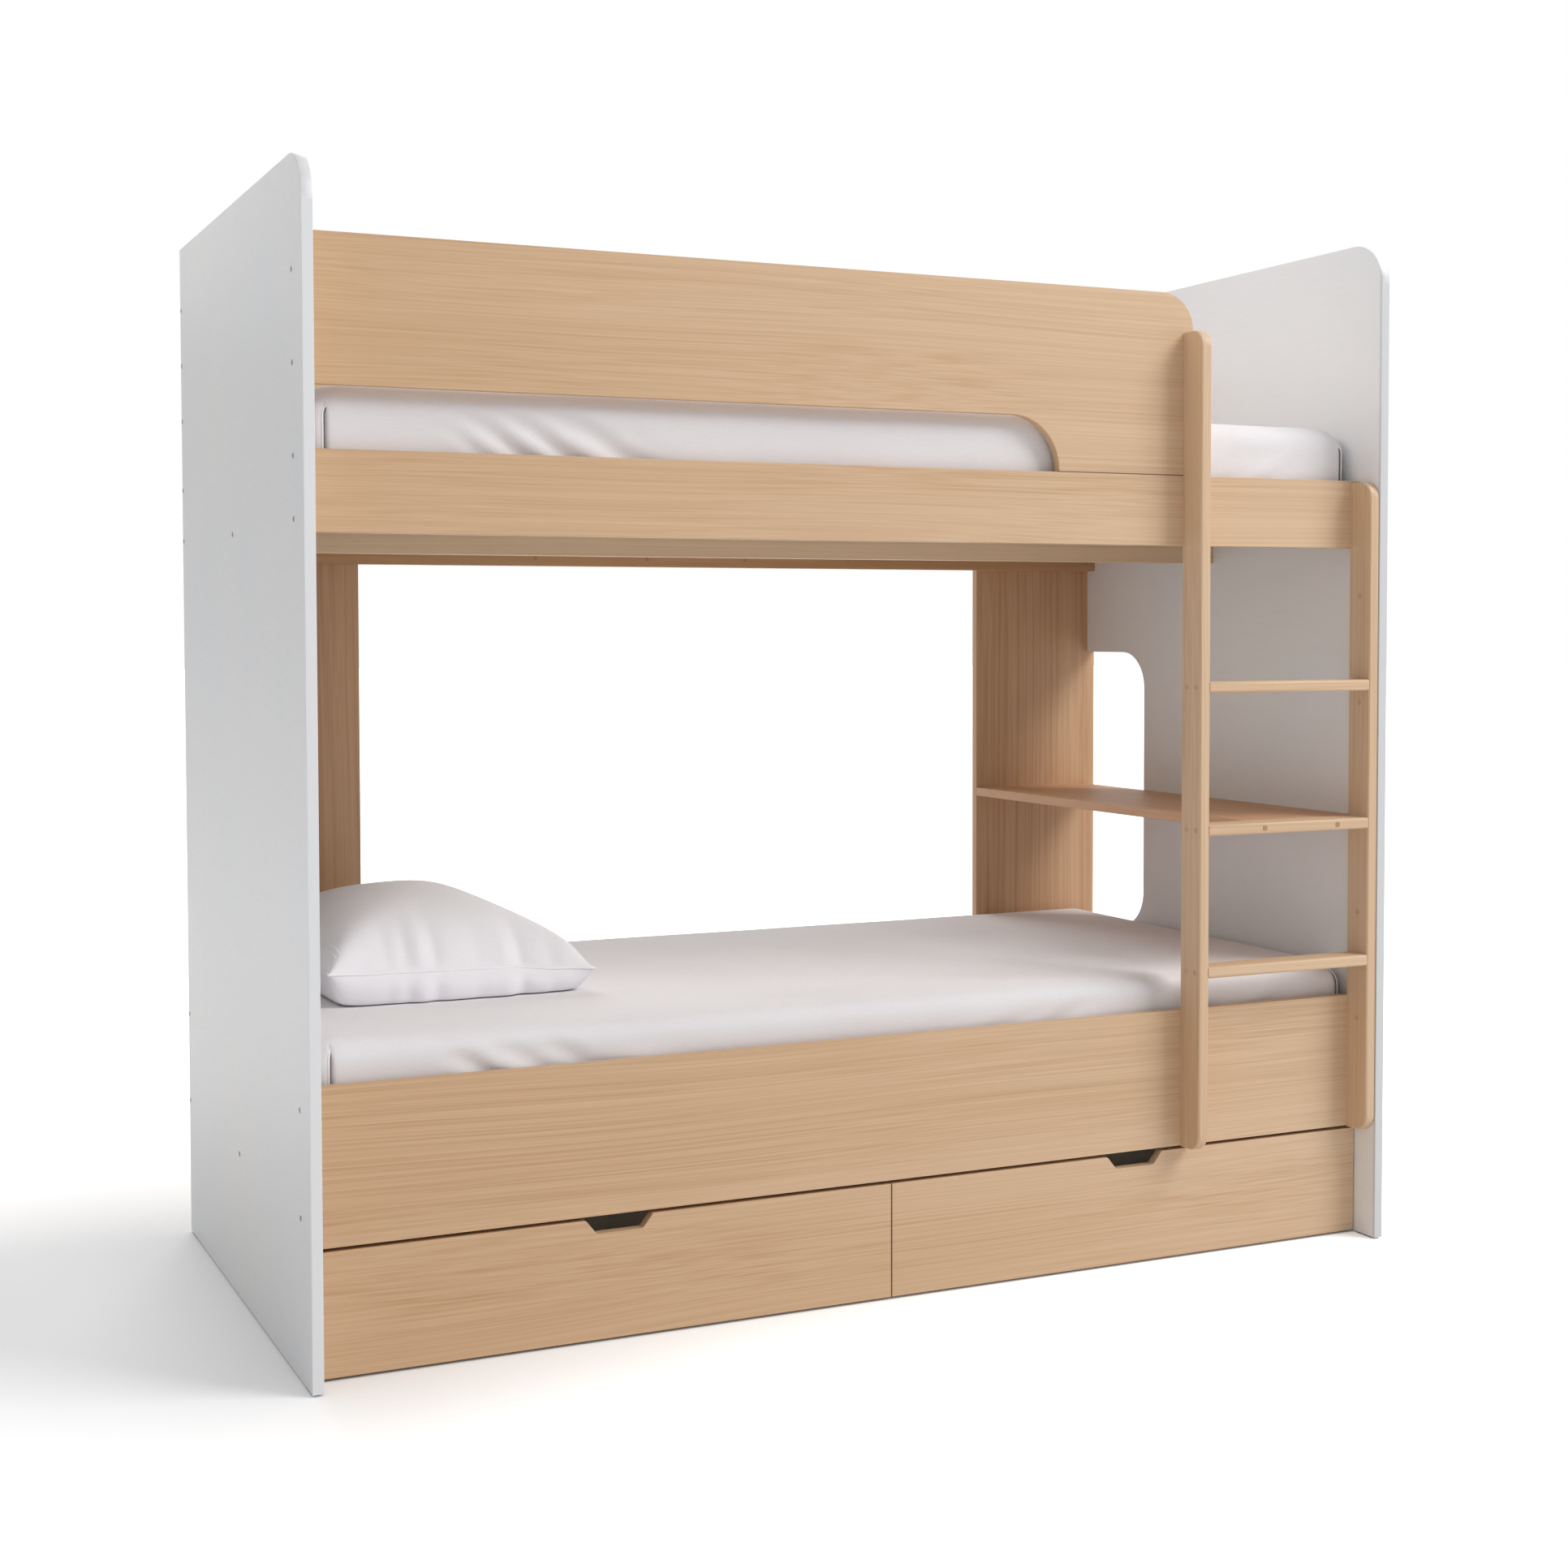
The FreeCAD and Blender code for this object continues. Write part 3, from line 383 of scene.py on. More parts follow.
# ---------------------------------------------------------------- slat bases
# Ledgers, centre beams and slats are planed softwood, pale and a little grey, with small
# knots. The ledgers are of redder, clear stock, and are screwed to the rails from inside.
pine = wood_finish("planed_pine", "X", "#E3C7A8", "#C2A07B", 11 * MM, depth=0.9, knots=True, roughness=0.62)
pine_slats = wood_finish("planed_pine_slats", "Y", "#DFD3BA", "#C2AE8E", 10 * MM, depth=0.8, knots=True,
                         roughness=0.62)
ledger_pine = wood_finish("planed_pine_ledgers", "X", "#C79A70", "#A5784E", 10 * MM, roughness=0.55)
for level in ("upper", "lower"):
    for ledger in ("_front_batten", "_rear_batten"):
        finish_with(level + ledger, ledger_pine, edge=1.0 * MM)
    finish_with(level + "_centre_beam", pine, edge=1.5 * MM)
    finish_with(level + "_slats", pine_slats, edge=1.5 * MM)

# Wood-tone plastic covers lie over each ledger's screws: the screws' places along the bed, in
# mm, and their height above the ledger's lower edge.
LEDGER_SCREWS, SCREW_LINE = (-983, -333, -90, 133, 377, 983), 16 * MM
for level in ("upper", "lower"):
    for side, way in (("front", 1), ("rear", -1)):
        low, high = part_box(level + "_" + side + "_batten")
        face = high.y if way > 0 else low.y
        centres = [Vector((x * MM, face, low.z + SCREW_LINE)) for x in LEDGER_SCREWS]
        screw_heads(level + "_" + side + "_batten_screws", centres, (0, way, 0), radius=4.5 * MM,
                    socket=1.6 * MM, material=wood_tone, segments=16)


# ---------------------------------------------------------------- drawers and floor glides
# Drawer sides and backs are white-wrapped board, the bottoms are thin hardboard with a white
# face, and each drawer rolls on moulded castors with black wheels on steel pins.
# Hardboard's white face is dull, and its pressed pulp shows as 4 mm clouds.
hardboard, tree, shader = new_finish("white_faced_hardboard", 0.6)
place = add_node(tree, "TexCoord").outputs["Object"]
pulp_map = add_node(tree, "Mapping", {"Vector": place, "Scale": (1 / (4 * MM),) * 3})
pulp = add_node(tree, "TexNoise", {"Vector": pulp_map.outputs[0], "Scale": 1.0, "Detail": 3.0})
pulp_tone = add_node(tree, "Mix", {0: pulp.outputs["Fac"], 6: colour("#DAD7D2"), 7: colour("#CDC9C2")},
                     data_type="RGBA")
tree.links.new(pulp_tone.outputs[2], shader.inputs["Base Color"])

grey_plastic = moulded_plastic("grey_moulded_nylon", "#9A9C9E", "#8C8E90", 0.5, mottle=0.8 * MM,
                               relief=0.05 * MM)
black_plastic = moulded_plastic("black_moulded_nylon", "#26272A", "#1D1E20", 0.42, mottle=0.8 * MM,
                                relief=0.05 * MM)
for side in ("left", "right"):
    for board in ("_drawer_left_side", "_drawer_right_side", "_drawer_back"):
        finish_with(side + board, ladder_melamine_band_shade, edge=0.8 * MM)
    finish_with(side + "_drawer_bottom", hardboard, edge=0.5 * MM)
    finish_with(side + "_drawer_stiffener", pine, edge=1.0 * MM)
    finish_with(side + "_castor_housings", grey_plastic, edge=0.5 * MM)
    finish_with(side + "_castor_axles", zinc_plate, edge=0.3 * MM)
    for wheel in ("front_left", "front_right", "rear_left", "rear_right"):
        finish_with(side + "_drawer_" + wheel + "_wheel", black_plastic, edge=0.8 * MM)
finish_with("foot_glides", grey_plastic, edge=0.5 * MM)


# ---------------------------------------------------------------- mattresses
# Two foam mattresses in a plain ticking, cut from one block with softly rounded edges. They
# lie loose on the slats, between the rails.
def cotton_finish(name, pale, shade, thread):
    """Plain-woven cotton: matt, softly lit at its turns, with slubs; thread is a yarn's width.

    Real yarns are about 0.3 mm wide; they are drawn wider, so that the weave shows.
    """
    material, tree, shader = new_finish(name, 0.85)
    shader.inputs["Sheen Weight"].default_value = 0.12
    shader.inputs["Sheen Roughness"].default_value = 0.45
    shader.inputs["Specular IOR Level"].default_value = 0.25
    place = add_node(tree, "TexCoord").outputs["Object"]
    yarns = []
    for stretch in ((14 * thread, thread, thread), (thread, 14 * thread, 2 * thread)):
        yarn_map = add_node(tree, "Mapping", {"Vector": place,
                                              "Scale": tuple(1 / size for size in stretch)})
        yarns.append(add_node(tree, "TexNoise",
                              {"Vector": yarn_map.outputs[0], "Scale": 1.0, "Detail": 1.0}).outputs["Fac"])
    weave = add_node(tree, "Math", {0: yarns[0], 1: yarns[1]}, operation="ADD")
    wash_map = add_node(tree, "Mapping", {"Vector": place, "Scale": (1 / (260 * MM),) * 3})
    wash = add_node(tree, "TexNoise", {"Vector": wash_map.outputs[0], "Scale": 1.0, "Detail": 2.0})
    slub = add_node(tree, "MapRange", {"Value": weave.outputs[0], "From Min": 0.8, "From Max": 1.3,
                                       "To Max": 0.45})
    faded = add_node(tree, "MapRange", {"Value": wash.outputs["Fac"], "From Min": 0.3, "From Max": 0.7,
                                        "To Max": 0.4})
    amount = add_node(tree, "Math", {0: slub.outputs[0], 1: faded.outputs[0]}, operation="ADD",
                      use_clamp=True)
    cloth = add_node(tree, "Mix", {0: amount.outputs[0], 6: colour(pale), 7: colour(shade)},
                     data_type="RGBA")
    relief = add_node(tree, "Bump", {"Height": weave.outputs[0], "Strength": 0.35, "Distance": 0.12 * MM})
    tree.links.new(cloth.outputs[2], shader.inputs["Base Color"])
    tree.links.new(relief.outputs[0], shader.inputs["Normal"])
    return material


def block_of_cells(low, high, cell):
    """A plain block whose faces are divided into cells, closer together beside its uprights."""
    crowding = 0.3
    block = bmesh.new()
    bmesh.ops.create_cube(block, size=2.0)
    half, middle = (high - low) / 2, (low + high) / 2
    for axis in range(3):
        rows = [e for e in block.edges if abs((e.verts[0].co - e.verts[1].co)[axis]) > 1]
        bmesh.ops.subdivide_edges(block, edges=rows, cuts=round(2 * half[axis] / cell) - 1,
                                  use_grid_fill=True)
    for vertex in block.verts:
        for axis in (0, 1):
            vertex.co[axis] *= 1 + crowding - crowding * vertex.co[axis] ** 2
    bmesh.ops.scale(block, verts=block.verts, vec=half)
    bmesh.ops.translate(block, verts=block.verts, vec=middle)
    return block


def smooth_step(share):
    """Ease a share in and out between 0 and 1."""
    share = np.clip(share, 0, 1)
    return share * share * (3 - 2 * share)


def soft_rounds(block, low, high):
    """Where a block's points lie with its edges softly rounded, and which way each one faces."""
    # A fullness of 2 would be a true round; foam in a cover stays squarer.
    fullness = 2.6
    middle, half = np.array((low + high) / 2), np.array((high - low) / 2)
    offset = np.array([vertex.co for vertex in block.verts]) - middle
    blend = smooth_step((offset[:, 2:] - half[2]) / TOP_ROUND[2] + 1)
    plan = np.array(UPRIGHT_ROUND) * (1 - blend) + np.array(TOP_ROUND[:2]) * blend
    plan[:, 1] = np.where(offset[:, 1] > 0, np.minimum(plan[:, 1], UPRIGHT_ROUND[1]), plan[:, 1])
    reach = np.hstack((plan, np.where(offset[:, 2:] > 0, TOP_ROUND[2], FOOT_ROUND)))
    inner = np.clip(offset, reach - half, half - reach)
    out = (offset - inner) / reach
    square = np.abs(out).max(axis=1, keepdims=True)
    length = np.maximum((np.abs(out) ** fullness).sum(axis=1, keepdims=True) ** (1 / fullness), 1e-9)
    facing = out / length / reach
    facing /= np.maximum(np.linalg.norm(facing, axis=1, keepdims=True), 1e-9)
    return middle + inner + out * reach * square / length, facing


def set_places(mesh, places):
    """Move a bmesh's vertices to these places."""
    for vertex, place in zip(mesh.verts, places):
        vertex.co = place


def smooth(piece):
    """Shade a piece smoothly."""
    for polygon in piece.data.polygons:
        polygon.use_smooth = True


ticking = cotton_finish("mattress_ticking", "#DAD7D1", "#C8C4BC", 2.5 * MM)
# How far the rounds reach: along X and Y at the uprights, X, Y and Z on top, Z beneath.
UPRIGHT_ROUND, TOP_ROUND, FOOT_ROUND = (32 * MM, 30 * MM), (64 * MM, 54 * MM, 48 * MM), 18 * MM
# How far the foam stands in from its sheet, at the sides and on top, and beneath.
SHEET_GAP, FOOT_GAP = Vector((10, 10, 7)) * MM, 1.2 * MM
cores = {}
for level in ("upper", "lower"):
    low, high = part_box(level + "_mattress")
    low = Vector((low.x + SHEET_GAP.x, low.y + SHEET_GAP.y, low.z + FOOT_GAP))
    high -= SHEET_GAP
    block = block_of_cells(low, high, 20 * MM)
    places, _ = soft_rounds(block, low, high)
    set_places(block, places)
    cores[level] = add_piece(level + "_mattress_foam", block, "bed", ticking)
    smooth(cores[level])
    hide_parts(level + "_mattress")


# ---------------------------------------------------------------- fitted sheets
# White cotton percale, cut flat with its four corners darted into pockets, pulled down over
# the mattress and gathered beneath by an elastic hem. It drags in slanting folds by each dart.
percale = cotton_finish("white_cotton_percale", "#EFECEE", "#E6E2E4", 1.3 * MM)
# Painted highlight: the cords' cotton is drawn whiter than the sheets', so that a seam reads as the bright
# line it catches.
cord_cotton_painted_highlight = cotton_finish("painted_highlight_white_cord", "#FDFCFF", "#F6F5F8", 1.3 * MM)
# Painted shadow: a dark grey cotton, laid as a cord in each dart's fold where there is only shade.
fold_shadow_paint = cotton_finish("painted_fold_shadow", "#787074", "#6A6266", 1.3 * MM)
TUCK = 95 * MM
# Under the mattress the elastic draws the border into flutes: their depth at the hem, and pitch.
FLUTE_DEPTH, FLUTE_PITCH = 5 * MM, 46 * MM
CORNERS = ((-1, -1), (-1, 1), (1, -1), (1, 1))
# The darts' turn from the bed's length, by end: the sheet is pulled towards the ladder end.
DART_TURN = {-1: math.radians(76), 1: math.radians(52)}
# How far below the mattress's top a dart begins.
DART_TOP = {"upper": 36 * MM, "lower": 15 * MM}
# A dart draws the cloth in, most at its pinch's place past the seam, and the cloth is folded there:
# (way past the seam, depth) of the fold's near edge, bottom and far edge.
DART_PINCH, PINCH_PLACE, PINCH_WIDTH = 2.2 * MM, 4 * MM, 5 * MM
DART_FOLD = ((1.8 * MM, 0), (3.6 * MM, 5 * MM), (5.6 * MM, 0))
# The radii of a dart's cord and of the dark cord of painted shadow in its fold, and how far beside the cord
# that one lies.
CORD_RADIUS, SHADOW_LINE_RADIUS, SHADOW_LINE_PLACE = 1.6 * MM, 1.05 * MM, 2.9 * MM
# Folds on a sheet's long side, in mm: from (X, drop below the top) down to (X, drop), then
# width and depth.
SHEET_FOLDS = {
    "upper": ((-790, 62, -728, 100, 11, 2.5), (-762, 44, -664, 98, 14, 5.5), (-706, 36, -590, 98, 14, 6.0),
              (-626, 38, -488, 96, 16, 5.5), (-560, 44, -410, 100, 16, 1.6),
              (790, 52, 690, 94, 14, 2.2), (850, 50, 735, 100, 14, 2.4), (905, 62, 800, 118, 14, 1.6)),
    "lower": ((-790, 34, -716, 72, 15, 5.5), (-730, 28, -620, 72, 16, 5.5), (-668, 26, -548, 72, 17, 6.0),
              (-600, 30, -470, 84, 18, 1.8), (350, 46, 262, 68, 15, 2.2), (440, 34, 345, 74, 15, 3.6),
              (760, 40, 670, 80, 16, 2.6), (900, 40, 800, 84, 16, 2.8)),
}


def fold_depth(along, drop, folds):
    """How far the cloth stands in at each point of a long side, across all its folds.

    A fold is a hollow between two low ridges. It bows a little sideways, starts faintly above
    its upper end and dies out well past its lower one.
    """
    depth = np.zeros_like(along)
    for x0, drop0, x1, drop1, width, deep in folds:
        run = np.array((x1 - x0, drop1 - drop0)) * MM
        length = np.linalg.norm(run)
        run /= length
        dx, dz = along - x0 * MM, drop - drop0 * MM
        travel = (dx * run[0] + dz * run[1]) / length
        bow = 0.06 * length * np.sin(np.pi * np.clip(travel, 0, 1))
        across = (dx * -run[1] + dz * run[0] + np.sign(run[0]) * bow) / (width * MM)
        fade = smooth_step((travel + 0.25) / 0.9) * np.clip(2.6 - travel, 0, 1)
        depth += deep * MM * fade * (1 - across ** 2) * np.exp(-across ** 2 / 2)
    return depth


def slow_waves(places):
    """The millimetre or so by which slack cloth wanders off a flat face."""
    x, y, z = places.T
    wide = 0.9 * np.sin(9.1 * x + 4.3 * y + 1.0) * np.sin(7.7 * y - 3.1 * x + 0.4)
    narrow = 0.5 * np.sin(21 * x + 13 * z + 2.0) * np.sin(17 * y + 9 * z)
    return (wide + narrow) * MM


def piping(points, radius, closed=False):
    """A fine round cord through these points, as a bmesh."""
    curve = bpy.data.curves.new("piping", "CURVE")
    curve.dimensions = "3D"
    curve.bevel_depth, curve.bevel_resolution, curve.use_fill_caps = radius, 2, True
    spline = curve.splines.new("POLY")
    spline.points.add(len(points) - 1)
    for point, place in zip(spline.points, points):
        point.co = (*place, 1)
    spline.use_cyclic_u = closed
    maker = bpy.data.objects.new("piping", curve)
    cord = bmesh.new()
    cord.from_mesh(bpy.data.meshes.new_from_object(maker))
    bpy.data.objects.remove(maker)
    return cord


def add_cord(cords, points, radius):
    """Add one more cord through these points to a bmesh of cords."""
    loose = bpy.data.meshes.new("cord")
    one = piping(points, radius)
    one.to_mesh(loose)
    one.free()
    cords.from_mesh(loose)


for level in ("upper", "lower"):
    low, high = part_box(level + "_mattress")
    slat_gap = Vector((0, 0, 0.5 * MM))
    middle, half_width = (low + high) / 2, (high.y - low.y) / 2
    dart_top = high.z - DART_TOP[level]
    block = block_of_cells(low + slat_gap, high, 10 * MM)
    under = [face for face in block.faces if face.normal.z < -0.5]
    centres = [face.calc_center_median() for face in under]
    bare = [face for face, centre in zip(under, centres)
            if min(high.x - abs(centre.x), half_width - abs(centre.y - middle.y)) > TUCK]
    bmesh.ops.delete(block, geom=bare, context="FACES")

    # The long sides carry the same folds, each seen from its own side.
    places, facing = soft_rounds(block, low + slat_gap, high)
    x, y, z = places.T
    drop = high.z - z
    front = np.clip(-facing[:, 1], 0, 1)
    rear = np.clip(facing[:, 1], 0, 1)
    folds = SHEET_FOLDS[level]
    depth = front * fold_depth(x, drop, folds) + rear * fold_depth(-x, drop, folds)

    # Each dart draws the cloth in along its seam, most on the long side of the corner.
    corner = Vector((high.x - UPRIGHT_ROUND[0], half_width - UPRIGHT_ROUND[1], 0))
    beyond_x, beyond_y = np.abs(x) - corner.x, np.abs(y - middle.y) - corner.y
    seam_turn = np.where(x < 0, DART_TURN[-1], DART_TURN[1])
    past_seam = (np.arctan2(beyond_y, beyond_x) - seam_turn) * UPRIGHT_ROUND[0]
    pinch = DART_PINCH * np.exp(-((past_seam - PINCH_PLACE) / PINCH_WIDTH) ** 2)
    begun = np.clip((drop - DART_TOP[level] + 15 * MM) / (16 * MM), 0, 1)
    depth += np.where((beyond_x > -8 * MM) & (beyond_y > 0), pinch * begun, 0)
    # The slack shows as slow waves, weaker on top, in cloth that stands 0.9 mm inside its box.
    upright = np.linalg.norm(facing[:, :2], axis=1)
    depth += slow_waves(places) * (0.35 + 0.65 * upright) + 0.9 * MM
    beneath = facing[:, 2] < -0.9
    places = places - facing * np.where(beneath, 0, depth)[:, None]

    # The flutes beneath grow from nothing at the mattress's edges to their depth at the hem.
    from_end, from_side = high.x - np.abs(x), half_width - np.abs(y - middle.y)
    around = np.where(from_end < from_side, y, x)
    flute = beneath * np.clip(np.minimum(from_end, from_side) / TUCK, 0, 1) ** 2
    flute = flute * FLUTE_DEPTH * np.sin(around * 2 * math.pi / FLUTE_PITCH)
    by_end = np.abs(x) > np.abs(y) * 2
    places[:, 0] += np.where(by_end, flute, 0)
    places[:, 1] += np.where(by_end, 0, flute)
    places[:, 2] = np.maximum(places[:, 2], low.z + 0.5 * MM)
    set_places(block, places)

    # The fold in each dart is cut into the mesh as three lines, and the middle one is sunk.
    for side_x, side_y in CORNERS:
        pivot = Vector((side_x * corner.x, middle.y + side_y * corner.y, 0))
        near = []
        for face in block.faces:
            place = face.calc_center_median() - pivot
            if min(side_x * place.x, side_y * place.y) > -9 * MM and place.z < dart_top + 10 * MM:
                near.append(face)
        for way_past, dip in DART_FOLD:
            turned = DART_TURN[side_x] + way_past / UPRIGHT_ROUND[0]
            out = Vector((side_x * math.cos(turned), side_y * math.sin(turned), 0))
            parts = list(dict.fromkeys(part for face in near for part in (face, *face.edges, *face.verts)))
            made = bmesh.ops.bisect_plane(block, geom=parts, dist=0.2 * MM, plane_co=pivot,
                                          plane_no=(-out.y, out.x, 0))
            near = [part for part in made["geom"] if isinstance(part, bmesh.types.BMFace)]
            for vertex in (part for part in made["geom_cut"] if isinstance(part, bmesh.types.BMVert)):
                if (vertex.co - pivot).dot(out) > 0:
                    begun = (dart_top + 8 * MM - vertex.co.z) / (12 * MM)
                    vertex.co -= out * dip * min(1, max(0, begun))
    skin = BVHTree.FromBMesh(block)
    sheet = add_piece(level + "_fitted_sheet", block, "bed", percale)
    smooth(sheet)
    cloth = sheet.modifiers.new("cloth_thickness", "SOLIDIFY")
    cloth.thickness, cloth.offset = 0.5 * MM, -1

    # A fine cord is sewn into each dart; beside it a dark grey cord is laid in the fold as painted shadow.
    # Both hook towards the long side at their top.
    cords, shadow_lines = bmesh.new(), bmesh.new()
    for side_x, side_y in CORNERS:
        pivot = Vector((side_x * corner.x, middle.y + side_y * corner.y, 0))
        beside = Matrix.Rotation(side_x * side_y * SHADOW_LINE_PLACE / UPRIGHT_ROUND[0], 4, "Z")
        cord_line, shadow_line = [], []
        for share in np.linspace(0, 1, 24):
            fallen = (dart_top - low.z - 14 * MM) * share ** 1.7
            turned = DART_TURN[side_x] + 0.2 * max(0, 1 - fallen / (14 * MM)) ** 2
            out = Vector((side_x * math.cos(turned), side_y * math.sin(turned), 0))
            start = pivot + Vector((0, 0, dart_top - fallen))
            spot = skin.ray_cast(start + out, -out)[0]
            cord_line.append(spot + out * 0.6 * MM)
            shadow_line.append(pivot + beside @ (spot - pivot - out * 0.3 * MM))
        add_cord(cords, cord_line, CORD_RADIUS)
        add_cord(shadow_lines, shadow_line, SHADOW_LINE_RADIUS)
    cords = add_piece(level + "_sheet_dart_cords", cords, "bed", cord_cotton_painted_highlight)
    shadow_lines = add_piece(level + "_sheet_dart_painted_shadows", shadow_lines, "bed", fold_shadow_paint)
    smooth(cords)
    smooth(shadow_lines)
    width, length = high.y - low.y, high.x - low.x
    side = high.z - low.z + TUCK


# ---------------------------------------------------------------- pillow
# A polyester-filled pillow, slack enough to lie flat beneath and crown above. Its cotton case
# is two flat faces sewn together all round, with a fine cord in the seam.
pillow_low, pillow_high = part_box("pillow")
pillow_middle = (pillow_low + pillow_high) / 2
# The case's cut, the pillow's volume in cubic metres, and how far each face starts off its seam.
CASE_CUT, FILL_VOLUME, START_LOFT = (520 * MM, 608 * MM), 0.0305, 18 * MM
case_cell, settle_frames, eased_times = ((10 * MM, 70, 12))

case = bmesh.new()
cells = [round(cut / case_cell) for cut in CASE_CUT]
for way in (1, -1):
    side = bmesh.ops.create_grid(case, x_segments=cells[0], y_segments=cells[1], size=0.5)["verts"]
    for vertex in side:
        loft = min(1, 6 - 12 * abs(vertex.co.x), 6 - 12 * abs(vertex.co.y))
        vertex.co = (vertex.co.x * CASE_CUT[0], vertex.co.y * CASE_CUT[1], way * loft * START_LOFT)
    if way < 0:
        bmesh.ops.reverse_faces(case, faces=list({face for vertex in side for face in vertex.link_faces}))
bmesh.ops.remove_doubles(case, verts=case.verts, dist=0.5 * MM)
case.verts.index_update()
rim = [v for v in case.verts if abs(v.co.x) > CASE_CUT[0] / 2 - MM or abs(v.co.y) > CASE_CUT[1] / 2 - MM]
rim = [v.index for v in sorted(rim, key=lambda v: math.atan2(v.co.y, v.co.x))]
flat = np.array([vertex.co for vertex in case.verts]) / (*CASE_CUT, 1)
bmesh.ops.translate(case, verts=case.verts, vec=(pillow_middle.x, pillow_middle.y, pillow_low.z + 70 * MM))
case_data = bpy.data.meshes.new("case_cloth")
case.to_mesh(case_data)
case.free()
case_cloth = bpy.data.objects.new("case_cloth", case_data)
scene.collection.objects.link(case_cloth)

# The case is filled and let down on to a board as high as the mattress, until it settles.
board_mesh = bmesh.new()
bmesh.ops.create_grid(board_mesh, x_segments=1, y_segments=1, size=1)
bmesh.ops.translate(board_mesh, verts=board_mesh.verts,
                    vec=(pillow_middle.x, pillow_middle.y, pillow_low.z))
board_data = bpy.data.meshes.new("rest_board")
board_mesh.to_mesh(board_data)
board_mesh.free()
rest_board = bpy.data.objects.new("rest_board", board_data)
scene.collection.objects.link(rest_board)
rest_board.modifiers.new("solid", "COLLISION")
rest_board.collision.thickness_outer = 3 * MM
rest_board.collision.cloth_friction = 20

# Thin cotton bends easily and hardly stretches; the filling presses it out to its volume.
cloth = case_cloth.modifiers.new("cloth", "CLOTH")
cloth.settings.quality = 6
cloth.settings.mass = 0.3
cloth.settings.tension_stiffness, cloth.settings.tension_damping = 15, 5
cloth.settings.compression_stiffness, cloth.settings.compression_damping = 7.5, 5
cloth.settings.shear_stiffness, cloth.settings.shear_damping = 5, 5
cloth.settings.bending_stiffness, cloth.settings.bending_damping = 0.3, 0.5
cloth.settings.use_pressure = cloth.settings.use_pressure_volume = True
cloth.settings.uniform_pressure_force = 0
cloth.settings.target_volume, cloth.settings.pressure_factor = FILL_VOLUME, 60
cloth.settings.effector_weights.gravity = 0.15
cloth.collision_settings.distance_min = 2 * MM
cloth.collision_settings.collision_quality = 3
cloth.point_cache.frame_start, cloth.point_cache.frame_end = 1, settle_frames
scene.frame_start, scene.frame_end = 1, settle_frames
for step in range(1, settle_frames + 1):
    scene.frame_set(step)
settled = bpy.data.meshes.new_from_object(case_cloth.evaluated_get(bpy.context.evaluated_depsgraph_get()))
bpy.data.objects.remove(case_cloth)
bpy.data.objects.remove(rest_board)
scene.frame_set(1)

# Small wrinkles are eased out of the faces, and of the seam between its corners, and the shape
# is drawn to the pillow's own box.
case = bmesh.new()
case.from_mesh(settled)
case.verts.ensure_lookup_table()
on_rim = set(rim)
inner = [vertex for vertex in case.verts if vertex.index not in on_rim]
for _ in range(eased_times):
    bmesh.ops.smooth_vert(case, verts=inner, factor=0.5, use_axis_x=True, use_axis_y=True, use_axis_z=True)
    for before, here, after in zip([rim[-1]] + rim[:-1], rim, rim[1:] + [rim[0]]):
        if abs(flat[here, :2]).min() < 0.48:
            neighbours = case.verts[before].co + case.verts[after].co
            case.verts[here].co = case.verts[here].co / 2 + neighbours / 4
places = np.array([vertex.co for vertex in case.verts])
share = (places - places.min(axis=0)) / np.ptp(places, axis=0)
across, along = flat[:, 0], flat[:, 1]
is_top, is_under = flat[:, 2] > 0, flat[:, 2] < 0

# Its border lies lower towards the ladder end, where its top has a shoulder too.
near_rim = np.abs(flat[:, :2] * 2).max(axis=1) ** 4
share[:, 2] *= 1 - near_rim * (0.36 * (across + 0.5) - 0.05)
share[:, 2] *= 1 - np.where(is_top, 0.13 * np.exp(-((across - 0.3) / 0.17) ** 2), 0)
share[:, 2] /= share[:, 2].max()

# Its weight spreads the filling out to near the seam beneath, most of all at the front.
seam_height = share[rim, 2].mean()
sunk = np.clip(share[:, 2] / seam_height, 0, 1)
share[:, 2] *= np.where(is_under, sunk ** 1.3, 1)
inward = np.clip((along + 0.5) / 0.35, 0, 1)
spread_out = 0.65 * (1 - inward ** 2) * (1 - (2 * across) ** 4)
share[:, 1] *= np.where(is_under, 1 - spread_out, 1)
places = np.array(pillow_low) + share * np.array(pillow_high - pillow_low)

# The cloth puckers along the front seam: X, half width and depth of each pucker, in mm.
PUCKERS = ((-800, 13, 2.0), (-768, 10, 3.4), (-742, 9, -2.2), (-716, 11, 3.8),
           (-640, 14, 1.6), (-590, 13, -2.0), (-562, 11, 4.0), (-505, 13, 2.0))
by_seam = near_rim ** 1.6
strength = np.where(along < 0, 7 * by_seam * (1 - by_seam), 0)
for pucker_x, width, deep in PUCKERS:
    dent = strength * deep * MM * np.exp(-((places[:, 0] - pucker_x * MM) / (width * MM)) ** 2)
    places[:, 1] += dent
    places[:, 2] -= np.where(is_top, 0.4 * dent, 0)
set_places(case, places)

# The seam stays sharp when the case is refined.
sharp = case.edges.layers.float.new("crease_edge")
for edge in case.edges:
    if edge.verts[0].index in on_rim and edge.verts[1].index in on_rim:
        edge[sharp] = 1.0
seam_line = [case.verts[index].co.copy() for index in rim if abs(flat[index, :2]).min() < 0.49]

case_cotton = cotton_finish("white_pillow_cotton", "#F8F6FA", "#F0EEF2", 1.3 * MM)
pillow = add_piece("filled_pillow_case", case, "bed", case_cotton)
smooth(pillow)
refine = pillow.modifiers.new("refined", "SUBSURF")
refine.levels = refine.render_levels = 1
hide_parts("pillow")

